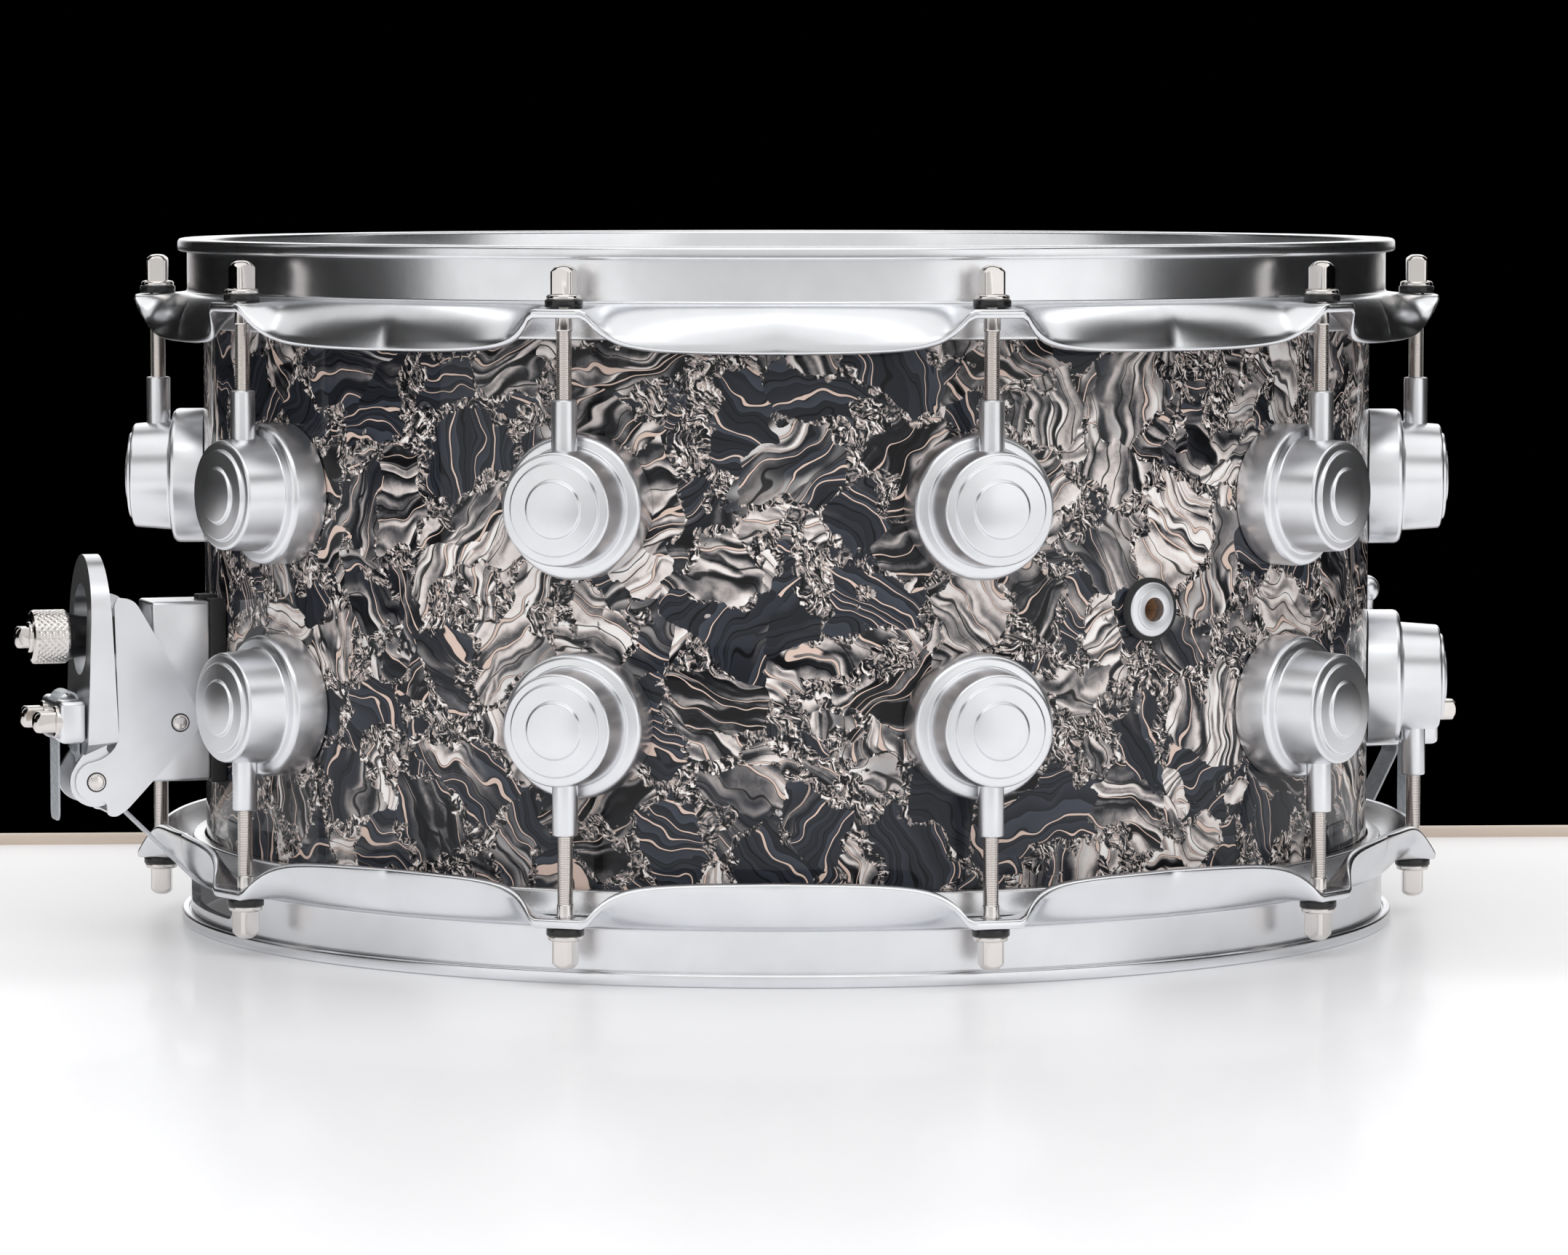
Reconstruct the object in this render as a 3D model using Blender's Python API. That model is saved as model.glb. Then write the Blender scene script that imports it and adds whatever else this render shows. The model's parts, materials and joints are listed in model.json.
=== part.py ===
"""Snare drum, fourteen by seven inches, with ten pairs of turret lugs.

Frame: metres, +Z up along the drum's axis, origin at the centre of the batter head's playing surface.
An azimuth is an angle round the axis in degrees, 0 at -Y and growing towards +X.
Heights on the drum are measured from the shell's middle plane, up for the batter side, down for the
snare side. The throw-off and the butt plate use local axes: U out from the shell, S along the shell,
W up from the middle of their base.
"""

import math

import bmesh
import bpy
from mathutils import Matrix, Vector

MM = 0.001
SMOOTH_UNDER = 35.0       # degrees between two faces that are still shaded as one

# ---- driving dimensions, in millimetres -------------------------------------------------------------
GAP = 0.3                 # clearance between two pieces that rest on each other
SIDES = 80                # facets round the shell, heads and flesh hoops

SHELL_R = 177.2           # outside radius of the shell with its wrap
SHELL_DEPTH = 177.8       # between the two bearing edges
SHELL_WALL = 8.0
EDGE_IN = 2.4             # bearing edge's peak, in from the outside
EDGE_ROUND = 1.5          # height of the outer round-over under the peak

FILM_T = 0.4              # drum head film
COLLAR_GAP = 0.35         # film collar to shell
FLESH_GAP = 0.4           # flesh hoop to shell
FLESH_W = 3.8
FLESH_H = 7.6
COLLAR_DROP = 5.0         # playing surface down to the top of the flesh hoop

HOOP_T = 2.7              # steel sheet of the triple-flanged hoops
RIM_CLEAR = 0.6           # flesh hoop to the rim's outer face
RIM_RISE = 13.7           # rim top above the playing surface
LIP_W = 2.8               # rolled lip outside the rim wall
LIP_H = 3.7
SHOULDER_W = 2.2          # shoulder outside the rim wall
SKIRT_W = 7.0             # skirt edge outside the rim wall, half way between two ears
SKIRT_DROP = 13.2         # shoulder down to that edge
EAR_DROP = 1.5            # shoulder down to the top of an ear
EAR_EDGE = 6.0            # rod axis to the ear's outer edge
EAR_HALF = 1.5            # degrees: half of an ear's flat top
EAR_FALL = 3.8            # degrees: from there to the foot of its steep flank
EAR_TAIL = 0.36           # how much of an ear is left at that foot, before it dies out into the skirt
EAR_HOLE_R = 3.1

LUG_PAIRS = 10
FIRST_LUG = 18.0          # azimuth of the first lug
LUG_FACETS = 12
LUG_H = 30.0              # lug centre above the middle plane
LUG_BASE_R = 20.5
LUG_BARREL_R = 16.5
LUG_CAP_R = 15.8
LUG_STEP_R = 13.0
LUG_STEP_T = 1.1
LUG_BOSS_R = 8.2
LUG_BOSS_T = 0.9
ROD_REACH = 10.0          # rim's outer face to the rod axis
ROD_TO_BASE = 4.7         # rod axis in to the front of the lug's base
ROD_TO_CAP = 7.5          # rod axis out to the lug's cap
SLEEVE_R = 3.6
SLEEVE_END = 30.1         # lug centre to the end of its sleeve

ROD_R = 2.25
ROD_FACETS = 8
ROD_LENGTH = 47.0         # under its washer
BORE_CLEAR = 0.4          # rod to the sleeve's bore
WASHER_R = 5.35
WASHER_T = 2.2
FLANGE_R = 4.9
FLANGE_T = 1.3
KEY_HALF = 3.1            # half of a square key head, across its flats
KEY_CORNER = 0.9          # what is taken off its corners
KEY_H = 6.5
KEY_DOME = 1.8

VENT_AZ = 36.0
VENT_FACETS = 12
VENT_BORE_R = 3.4
VENT_TUBE_R = 4.8
VENT_FACE_R = 7.8
VENT_RING_R = 9.0
VENT_RING_T = 1.0
VENT_PROUD = 3.6
VENT_NUT_R = 7.0
VENT_NUT_T = 2.0

THROW_AZ = -72.0
BUTT_AZ = 108.0
BASE_W = 20.4
BASE_H = 53.3
BASE_D = 22.0
FRAME_PIN = (14.3, -9.1)      # U, W
FRAME_PIN_R = 2.1
LEVER_PIN = (39.6, -26.1)     # U, W
LEVER_PIN_R = 2.4
CHEEK_T = 1.5
BOSS_R = 7.1
HUB_R = 7.5
WEB_GAP = 6.2                 # base to the web that joins the cheeks
WEB_T = 3.3
WEB_BELOW = 26.9              # web's ends below and above the tension knob's axis
WEB_ABOVE = 8.1
GUIDE_IN = 7.6                # lever pin in to the inner edge of the strap's guide bar
GUIDE_L = 3.6
GUIDE_T = 1.0
KNOB_W = 16.4                 # height of the tension knob's axis
KNOB_R = 8.0
KNOB_L = 10.6
KNOB_STAND = 4.4              # lever's front to the knob's grip
KNOB_KEY_L = 4.8
NECK_R = 6.2
NECK_FLARE = 2.5
SCREW_R = 2.4
SCREW_IN = 10.0               # length of the tension screw inside the base at rest
SCREW_PITCH = 0.8
SCREW_CLEAR = 0.9
KNOB_TURNS = 2.0              # turns of the knob to each side of rest
LEVER_CLEAR = 4.5             # web to the lever's back, at the window's top
LEVER_T = 5.4
LEVER_LEAN = 0.05             # how its back leans towards the shell further down
LEVER_FLARE = 0.032           # how its front leans away from the shell further down
LEVER_HALF_W = 17.0
LEVER_RISE = 8.6              # lever's top above its window
LEVER_ROUND = 20.0
LEVER_FOOT = (14.1, 8.7)      # its back and front edges above the lever's pin
WINDOW_HALF_W = 9.8
WINDOW_ABOVE = 15.6           # window's ends above and below the tension knob's axis
WINDOW_BELOW = 11.5
CLAMP_HALF_W = 14.8
CLAMP_H = 12.7
CLAMP_D = 7.9
CLAMP_ABOVE = 18.1            # lever pin up to the clamp's middle
CLAMP_SLOT = 1.9              # strap slot's middle to the clamp's front
CLAMP_CHAMFER = 1.5
CLAMP_KEY_S = 10.0            # clamp screws, to each side
CLAMP_KEY_L = 7.3
STRAP_HALF_W = 7.5
STRAP_T = 0.8
STRAP_MEETS = -100.0          # degrees round the lever's pin where the strap meets the hub
STRAP_LEAVES = 28.0           # and where it leaves it for the clamp
TAIL_L = 23.6                 # strap tail below the clamp

BUTT_D = 21.5
BUTT_ROUND = 7.0
BUTT_CLAMP_D = 11.0
BUTT_CLAMP_H = 21.0
BUTT_CLAMP_W = -15.6
BUTT_TAIL_L = 23.9

GATE_HALF = 8.8               # degrees: half of a snare gate
GATE_LIP = 3.0                # steel left between the lip and the gate
WIRE_COUNT = 20
WIRE_PITCH = 2.2
WIRE_HALF_L = 163.0
WIRE_T = 0.8
END_PLATE_L = 14.0

# ---- heights and radii that follow from them --------------------------------------------------------
HALF = SHELL_DEPTH / 2
HEAD_TOP = HALF + GAP + FILM_T
MIDDLE = -HEAD_TOP
FLESH_TOP = HEAD_TOP - COLLAR_DROP
RIM_TOP = HEAD_TOP + RIM_RISE
SHOULDER_UNDER = FLESH_TOP + GAP
SHOULDER = SHOULDER_UNDER + HOOP_T
EAR_TOP = SHOULDER - EAR_DROP
FLESH_IN = SHELL_R + FLESH_GAP
FLESH_OUT = FLESH_IN + FLESH_W
RIM_R = FLESH_OUT + RIM_CLEAR
ROD_AXIS_R = RIM_R + ROD_REACH
EAR_R = ROD_AXIS_R + EAR_EDGE
SNARE_H = -(HEAD_TOP + GAP)                       # top of the snare wires, under the snare-side head
THROW_H = -LUG_H                                  # middle of the throw-off and butt bases
STRAP_RUN_W = SNARE_H - WIRE_T / 2 - THROW_H      # W of the straps' flat run under the head
WEB_U = BASE_D + WEB_GAP
WEB_FRONT = WEB_U + WEB_T
WINDOW_TOP = KNOB_W + WINDOW_ABOVE
WINDOW_FOOT = KNOB_W - WINDOW_BELOW
LEVER_TOP = WINDOW_TOP + LEVER_RISE
CLAMP_W = LEVER_PIN[1] + CLAMP_ABOVE
GUIDE_U = LEVER_PIN[0] - GUIDE_IN
GUIDE_TOP = LEVER_PIN[1] - HUB_R - STRAP_T - 2 * GAP      # under the strap, which is under the hub

LUG_AZIMUTHS = [FIRST_LUG + 360.0 * i / LUG_PAIRS for i in range(LUG_PAIRS)]


# ---- materials --------------------------------------------------------------------------------------
def material(name, color, roughness, metallic=0.0):
    found = bpy.data.materials.get(name)
    if found:
        return found
    made = bpy.data.materials.new(name)
    made.use_nodes = True
    shader = made.node_tree.nodes["Principled BSDF"]
    shader.inputs["Base Color"].default_value = (*color, 1.0)
    shader.inputs["Roughness"].default_value = roughness
    shader.inputs["Metallic"].default_value = metallic
    return made


def wrapped_shell():
    return material("wrapped_shell", (0.06, 0.06, 0.07), 0.15)


def head_film():
    return material("head_film", (0.9, 0.9, 0.88), 0.4)


def aluminium():
    return material("aluminium", (0.8, 0.8, 0.81), 0.3, 1.0)


def satin_chrome():
    return material("satin_chrome", (0.78, 0.77, 0.77), 0.22, 1.0)


def nickel():
    return material("nickel", (0.78, 0.72, 0.69), 0.18, 1.0)


def clear_strap():
    return material("clear_strap", (0.75, 0.78, 0.8), 0.2)


# ---- mesh helpers -----------------------------------------------------------------------------------
def finish(name, bm, mat, origin=(0, 0, 0)):
    """Turns a bmesh in millimetres into an object in metres, with its origin at the point given."""
    bmesh.ops.recalc_face_normals(bm, faces=bm.faces)
    bmesh.ops.translate(bm, vec=-Vector(origin), verts=bm.verts)
    bmesh.ops.scale(bm, vec=(MM, MM, MM), verts=bm.verts)
    mesh = bpy.data.meshes.new(name)
    bm.to_mesh(mesh)
    bm.free()
    mesh.materials.append(mat)
    mesh.shade_smooth()
    mesh.set_sharp_from_angle(angle=math.radians(SMOOTH_UNDER))
    made = place(name, mesh)
    made.location = Vector(origin) * MM
    return made


def place(name, mesh):
    made = bpy.data.objects.new(name, mesh)
    bpy.context.collection.objects.link(made)
    return made


def cutter(name, bm):
    made = finish(name, bm, satin_chrome())
    made.hide_render = True
    made.display_type = "WIRE"
    return made


def boolean(target, tool, operation):
    step = target.modifiers.new(tool.name, "BOOLEAN")
    step.operation = operation
    step.solver = "EXACT"
    step.object = tool


def applied(target, tools):
    """Gives the object the mesh that its modifiers make, and removes the tools they used."""
    bpy.context.view_layer.update()
    source = target.evaluated_get(bpy.context.evaluated_depsgraph_get())
    mesh = bpy.data.meshes.new_from_object(source)
    target.modifiers.clear()
    target.data = mesh
    for tool in tools:
        bpy.data.objects.remove(tool)
    return target


def lathe(bm, profile, facets, axis=(0, 0, 1)):
    """Spins (radius, height) points round the axis; a point at radius 0 closes the shape there."""
    turn = Vector((0, 0, 1)).rotation_difference(Vector(axis)).to_matrix()
    half_step = Matrix.Rotation(math.pi / facets, 3, "Z")
    verts = [bm.verts.new(turn @ half_step @ Vector((r, 0, h))) for r, h in profile]
    pairs = zip(verts, verts[1:] + verts[:1]) if profile[0][0] > 0 else zip(verts, verts[1:])
    edges = [bm.edges.new(pair) for pair in pairs]
    bmesh.ops.spin(bm, geom=verts + edges, cent=(0, 0, 0), axis=axis, angle=math.tau,
                   steps=facets, use_merge=True)
    bmesh.ops.remove_doubles(bm, verts=bm.verts, dist=0.001)


def prism(bm, outline, low, high, place_point):
    """Extrudes a flat outline of (a, b) points from low to high; place_point gives (a, b, c) in space."""
    base = [bm.verts.new(place_point(a, b, low)) for a, b in outline]
    face = bm.faces.new(base)
    made = bmesh.ops.extrude_face_region(bm, geom=[face])
    shift = Vector(place_point(0, 0, high)) - Vector(place_point(0, 0, low))
    tops = [item for item in made["geom"] if isinstance(item, bmesh.types.BMVert)]
    bmesh.ops.translate(bm, verts=tops, vec=shift)


def ring_grid(bm, sections):
    """Skins a closed ring of closed sections, each a list of as many points."""
    count, corners = len(sections), len(sections[0])
    bmesh.ops.create_grid(bm, x_segments=count, y_segments=corners, size=0.5)
    for vert in bm.verts:
        section = round((vert.co.x + 0.5) * count) % count
        corner = round((vert.co.y + 0.5) * corners) % corners
        vert.co = sections[section][corner]
    bmesh.ops.remove_doubles(bm, verts=bm.verts, dist=0.001)


def arc(center, radius, start, end, steps):
    """Points on a circle from one angle to another, in degrees."""
    angles = [math.radians(start + (end - start) * i / steps) for i in range(steps + 1)]
    return [(center[0] + radius * math.cos(t), center[1] + radius * math.sin(t)) for t in angles]


def radial(azimuth):
    a = math.radians(azimuth)
    return Vector((math.sin(a), -math.cos(a), 0))


def sideways(azimuth):
    a = math.radians(azimuth)
    return Vector((math.cos(a), math.sin(a), 0))


def fitting_place(azimuth):
    """Local (U, W, S) of a shell fitting to drum millimetres."""
    out, side = radial(azimuth), sideways(azimuth)

    def spot(u, w, s):
        return out * (SHELL_R + u) + side * s + Vector((0, 0, MIDDLE + THROW_H + w))
    return spot


# ---- shell, heads and vent --------------------------------------------------------------------------
def make_shell():
    inside = SHELL_R - SHELL_WALL
    peak = SHELL_R - EDGE_IN
    shoulder = HALF - EDGE_ROUND
    bevel_foot = HALF - (peak - inside)
    profile = [(SHELL_R, shoulder), (SHELL_R, -shoulder), (peak, -HALF), (inside, -bevel_foot),
               (inside, bevel_foot), (peak, HALF)]
    bm = bmesh.new()
    lathe(bm, [(r, h + MIDDLE) for r, h in profile], SIDES)
    shell = finish("shell", bm, wrapped_shell())
    hole = bmesh.new()
    lathe(hole, [(0, -SHELL_WALL), (VENT_TUBE_R + BORE_CLEAR, -SHELL_WALL),
                 (VENT_TUBE_R + BORE_CLEAR, SHELL_WALL), (0, SHELL_WALL)], VENT_FACETS, radial(VENT_AZ))
    middle = radial(VENT_AZ) * (SHELL_R - SHELL_WALL / 2) + Vector((0, 0, MIDDLE))
    bmesh.ops.translate(hole, verts=hole.verts, vec=middle)
    tool = cutter("vent_cutter", hole)
    boolean(shell, tool, "DIFFERENCE")
    return applied(shell, [tool])


def make_vent():
    face = SHELL_R + VENT_PROUD
    ring_back = SHELL_R + GAP
    ring_front = ring_back + VENT_RING_T
    inside = SHELL_R - SHELL_WALL - GAP
    profile = [(VENT_BORE_R, face), (VENT_FACE_R, face), (VENT_FACE_R, ring_front),
               (VENT_RING_R, ring_front), (VENT_RING_R, ring_back), (VENT_TUBE_R, ring_back),
               (VENT_TUBE_R, inside), (VENT_NUT_R, inside), (VENT_NUT_R, inside - VENT_NUT_T),
               (VENT_BORE_R, inside - VENT_NUT_T)]
    bm = bmesh.new()
    lathe(bm, profile, VENT_FACETS, radial(VENT_AZ))
    bmesh.ops.translate(bm, verts=bm.verts, vec=(0, 0, MIDDLE))
    finish("vent_grommet", bm, nickel())


def make_head(name, side):
    collar_in = SHELL_R + COLLAR_GAP
    collar_out = collar_in + FILM_T
    profile = [(0, HEAD_TOP), (collar_out, HEAD_TOP), (collar_out, FLESH_TOP + GAP),
               (collar_in, FLESH_TOP + GAP), (collar_in, HEAD_TOP - FILM_T), (0, HEAD_TOP - FILM_T)]
    bm = bmesh.new()
    lathe(bm, [(r, MIDDLE + side * h) for r, h in profile], SIDES)
    finish(name, bm, head_film())


def make_flesh_hoop(name, side):
    low, high = FLESH_TOP - FLESH_H, FLESH_TOP
    profile = [(FLESH_IN, high), (FLESH_OUT, high), (FLESH_OUT, low), (FLESH_IN, low)]
    bm = bmesh.new()
    lathe(bm, [(r, MIDDLE + side * h) for r, h in profile], SIDES)
    finish(name, bm, aluminium())


# ---- triple-flanged hoops ---------------------------------------------------------------------------
def ear_share(offset):
    """How far the skirt is drawn out into an ear, from 1 at an ear to 0 half way between two."""
    sector = 180.0 / LUG_PAIRS
    off = abs(offset)
    past = min(max((off - EAR_HALF) / EAR_FALL, 0.0), 1.0)
    fall = 0.5 * (1 + math.cos(math.pi * past))
    return fall + (1 - fall) * EAR_TAIL * (1 - off / sector) ** 2


def hoop_section(offset):
    """The hoop's cross-section, as (radius, height) corners, this many degrees from an ear."""
    share = ear_share(offset)
    skirt_out = (RIM_R + SKIRT_W, SHOULDER - SKIRT_DROP)
    skirt_in = (skirt_out[0] - 0.85 * HOOP_T, skirt_out[1] - 0.35 * HOOP_T)
    ear_out = (EAR_R, EAR_TOP)
    ear_in = (EAR_R, EAR_TOP - HOOP_T)
    edge_out = [a + (b - a) * share for a, b in zip(skirt_out, ear_out)]
    edge_in = [a + (b - a) * share for a, b in zip(skirt_in, ear_in)]
    wall_in = RIM_R - HOOP_T
    return [(wall_in, RIM_TOP), (RIM_R + LIP_W, RIM_TOP), (RIM_R + LIP_W, RIM_TOP - LIP_H),
            (RIM_R, RIM_TOP - LIP_H), (RIM_R, SHOULDER),
            (RIM_R + SHOULDER_W, SHOULDER - 0.5 * EAR_DROP * (1 + share)), tuple(edge_out),
            tuple(edge_in), (RIM_R, SHOULDER_UNDER), (wall_in, SHOULDER_UNDER)]


def hoop_columns():
    """(azimuth, degrees from its ear) of each column of corners round a hoop."""
    sector = 180.0 / LUG_PAIRS
    steps = [EAR_HALF, EAR_HALF + 0.35 * EAR_FALL, EAR_HALF + 0.7 * EAR_FALL, 0.45 * sector, 0.72 * sector]
    offsets = [-step for step in reversed(steps)] + steps + [sector]
    return [(azimuth + offset, offset) for azimuth in LUG_AZIMUTHS for offset in offsets]


def make_hoop(name, side, gates=()):
    sections = []
    for azimuth, offset in hoop_columns():
        out = radial(azimuth)
        sections.append([out * r + Vector((0, 0, MIDDLE + side * h)) for r, h in hoop_section(offset)])
    bm = bmesh.new()
    ring_grid(bm, sections)
    hoop = finish(name, bm, satin_chrome())

    holes = bmesh.new()
    for azimuth in LUG_AZIMUTHS:
        drill = bmesh.new()
        low, high = EAR_TOP - 3 * HOOP_T, EAR_TOP + HOOP_T
        lathe(drill, [(0, low), (EAR_HOLE_R, low), (EAR_HOLE_R, high), (0, high)], ROD_FACETS)
        spot = radial(azimuth) * ROD_AXIS_R
        for vert in drill.verts:
            vert.co = Vector((vert.co.x, vert.co.y, MIDDLE + side * vert.co.z)) + spot
        join(holes, drill)
    for azimuth in gates:
        join(holes, gate_cut(azimuth, side))
    tool = cutter(name + "_cutter", holes)
    boolean(hoop, tool, "DIFFERENCE")
    return applied(hoop, [tool])


def join(target, source):
    """Adds one bmesh to another and frees it."""
    mesh = bpy.data.meshes.new("part")
    source.to_mesh(mesh)
    source.free()
    target.from_mesh(mesh)
    bpy.data.meshes.remove(mesh)


def gate_cut(azimuth, side):
    """The block that cuts a snare gate through the rim's wall."""
    half = math.radians(GATE_HALF)
    inner = (RIM_R - 2 * HOOP_T) * math.cos(half)
    reach = (RIM_R + LIP_W) * math.sin(half)
    low, high = SHOULDER, RIM_TOP - LIP_H - GATE_LIP
    outline = [(inner, -reach), (RIM_R + 2 * LIP_W, -reach), (RIM_R + 2 * LIP_W, reach), (inner, reach)]
    out, along = radial(azimuth), sideways(azimuth)
    bm = bmesh.new()
    prism(bm, outline, low, high, lambda a, b, c: out * a + along * b + Vector((0, 0, MIDDLE + side * c)))
    return bm


# ---- lugs and tension rods --------------------------------------------------------------------------
def lug_mesh():
    """A lug of the batter side at azimuth 0, its centre at the origin's height, with its rod bore."""
    base_back = SHELL_R + GAP
    base_front = ROD_AXIS_R - ROD_TO_BASE
    cap = ROD_AXIS_R + ROD_TO_CAP
    profile = [(0, base_back), (LUG_BASE_R / 2, base_back), (LUG_BASE_R, base_back),
               (LUG_BASE_R, base_front), (LUG_BARREL_R, base_front), (LUG_CAP_R, cap), (LUG_STEP_R, cap),
               (LUG_STEP_R, cap + LUG_STEP_T), (LUG_BOSS_R, cap + LUG_STEP_T + LUG_BOSS_T),
               (0, cap + LUG_STEP_T + LUG_BOSS_T)]
    bm = bmesh.new()
    lathe(bm, profile, LUG_FACETS, radial(0))
    for vert in bm.verts:
        if abs(vert.co.y + base_back) < 0.01:
            vert.co.y = -math.sqrt(base_back ** 2 - vert.co.x ** 2)
    lug = finish("lug_body", bm, satin_chrome())

    tube = bmesh.new()
    lathe(tube, [(0, 0.0), (SLEEVE_R, 0.0), (SLEEVE_R, SLEEVE_END), (0, SLEEVE_END)], ROD_FACETS)
    bmesh.ops.translate(tube, verts=tube.verts, vec=radial(0) * ROD_AXIS_R)
    sleeve = cutter("sleeve_tool", tube)
    bore_r = (ROD_R + BORE_CLEAR) / math.cos(math.pi / ROD_FACETS)
    bore_foot = rod_foot() - LUG_H - 2.0
    drill = bmesh.new()
    lathe(drill, [(0, bore_foot), (bore_r, bore_foot), (bore_r, 2 * SLEEVE_END), (0, 2 * SLEEVE_END)],
          ROD_FACETS)
    bmesh.ops.translate(drill, verts=drill.verts, vec=radial(0) * ROD_AXIS_R)
    bore = cutter("bore_tool", drill)
    boolean(lug, sleeve, "UNION")
    boolean(lug, bore, "DIFFERENCE")
    applied(lug, [sleeve, bore])
    mesh = lug.data
    bpy.data.objects.remove(lug)
    return mesh


def rod_foot():
    """Height of a rod's lower end above the middle plane."""
    return EAR_TOP + GAP - ROD_LENGTH


def key_ring(half, height):
    """A square with its corners cut off, as eight points."""
    near = half - KEY_CORNER * half / KEY_HALF
    corners = [(half, -near), (half, near), (near, half), (-near, half), (-half, near), (-half, -near),
               (-near, -half), (near, -half)]
    return [Vector((x, y, height)) for x, y in corners]


def key_block(bm, half, foot, top, dome):
    """A square key head standing on a height, with a domed end."""
    loops = [key_ring(half, foot), key_ring(half, top), key_ring(half * 0.6, top + dome)]
    rings = [[bm.verts.new(point) for point in loop] for loop in loops]
    bm.faces.new(rings[0])
    bm.faces.new(rings[-1])
    for low, high in zip(rings, rings[1:]):
        for i in range(len(low)):
            bm.faces.new((low[i - 1], low[i], high[i], high[i - 1]))


def rod_mesh():
    """A tension rod pointing down, on its own axis, with its washer's underside at height 0."""
    top = WASHER_T + FLANGE_T
    profile = [(0, -ROD_LENGTH), (ROD_R, -ROD_LENGTH), (ROD_R, 0), (WASHER_R, 0), (WASHER_R, WASHER_T),
               (FLANGE_R, top), (0, top)]
    bm = bmesh.new()
    lathe(bm, profile, ROD_FACETS)
    rod = finish("rod_body", bm, nickel())
    head = bmesh.new()
    key_block(head, KEY_HALF, WASHER_T, top + KEY_H, KEY_DOME)
    tool = cutter("key_tool", head)
    boolean(rod, tool, "UNION")
    applied(rod, [tool])
    mesh = rod.data
    bpy.data.objects.remove(rod)
    return mesh


def make_lugs_and_rods():
    lug = lug_mesh()
    rod = rod_mesh()
    for label, side in (("batter", 1), ("snare", -1)):
        for number, azimuth in enumerate(LUG_AZIMUTHS, start=1):
            turn = Matrix.Rotation(math.radians(azimuth), 4, "Z")
            flip = Matrix.Identity(4) if side > 0 else Matrix.Rotation(math.pi, 4, "Y")
            lug_spot = Matrix.Translation((0, 0, (MIDDLE + side * LUG_H) * MM))
            body = place(f"{label}_lug_{number:02d}", lug)
            body.matrix_world = turn @ lug_spot @ flip
            seat = radial(azimuth) * ROD_AXIS_R + Vector((0, 0, MIDDLE + side * (EAR_TOP + GAP)))
            screw = place(f"{label}_rod_{number:02d}", rod)
            screw.matrix_world = Matrix.Translation(seat * MM) @ turn @ flip


# ---- throw-off --------------------------------------------------------------------------------------
def base_outline(depth, half_width):
    """(U, S) outline of a base whose back follows the shell."""
    back = []
    for i in range(5):
        s = half_width * (i / 2 - 1)
        back.append((math.sqrt((SHELL_R + GAP) ** 2 - s * s) - SHELL_R, s))
    return [(depth, half_width), (depth, -half_width)] + back


def hole_radius(radius, clear=GAP):
    """Corner radius of a faceted hole whose flats clear a round of this radius."""
    return (radius + clear) / math.cos(math.pi / ROD_FACETS)


def across(azimuth, spot, radius, half_length):
    """A round bar along S at a (U, W) spot."""
    bm = bmesh.new()
    lathe(bm, [(0, -half_length), (radius, -half_length), (radius, half_length), (0, half_length)],
          ROD_FACETS, sideways(azimuth))
    bmesh.ops.translate(bm, verts=bm.verts, vec=fitting_place(azimuth)(*spot, 0))
    return bm


def outwards(azimuth, profile, w, facets=ROD_FACETS):
    """A turned shape on the fitting's middle, from (radius, U) points."""
    bm = bmesh.new()
    lathe(bm, profile, facets, radial(azimuth))
    bmesh.ops.translate(bm, verts=bm.verts, vec=fitting_place(azimuth)(0, w, 0))
    return bm


def make_pin(name, spot, radius, origin):
    half_length = BASE_W / 2 + CHEEK_T + 2 * GAP
    finish(name, across(THROW_AZ, spot, radius, half_length), nickel(), fitting_place(THROW_AZ)(*origin, 0))


def make_throw_off_base():
    spot = fitting_place(THROW_AZ)
    bm = bmesh.new()
    prism(bm, base_outline(BASE_D, BASE_W / 2), -BASE_H / 2, BASE_H / 2, lambda u, s, w: spot(u, w, s))
    base = finish("throw_off_base", bm, satin_chrome())
    radius = hole_radius(SCREW_R, SCREW_CLEAR)
    foot, mouth = BASE_D - SCREW_IN - 2 * SCREW_PITCH * KNOB_TURNS, BASE_D + SCREW_IN
    screw_hole = outwards(THROW_AZ, [(0, foot), (radius, foot), (radius, mouth), (0, mouth)], KNOB_W)
    pin_hole = across(THROW_AZ, FRAME_PIN, hole_radius(FRAME_PIN_R), BASE_W)
    tools = [cutter("base_pin_hole", pin_hole), cutter("base_screw_hole", screw_hole)]
    for tool in tools:
        boolean(base, tool, "DIFFERENCE")
    return applied(base, tools)


def around(centre, offsets):
    return [(centre[0] + du, centre[1] + dw) for du, dw in offsets]


def cheek_outline():
    """(U, W) outline of the frame's cheek: a kite with a boss for the lever's pin."""
    top = around((WEB_FRONT, KNOB_W), [(2.4, 10.2), (0.0, 11.6), (-3.1, 11.2), (-4.7, 9.6)])
    inner = around(FRAME_PIN, [(-4.5, 5.1), (-5.6, 1.9), (-5.1, -2.5)])
    foot = around((GUIDE_U, GUIDE_TOP), [(-1.7, 0.1), (2.2, -1.6), (4.0, -0.6), (4.2, 2.4)])
    boss = arc(LEVER_PIN, BOSS_R, -120, -90, 1) + arc(LEVER_PIN, BOSS_R, -60, 60, 4)
    scoop = around(LEVER_PIN, [(-1.0, 7.5), (-5.2, 9.7), (-7.0, 12.7)])
    return top + inner + foot + boss + scoop


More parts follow.
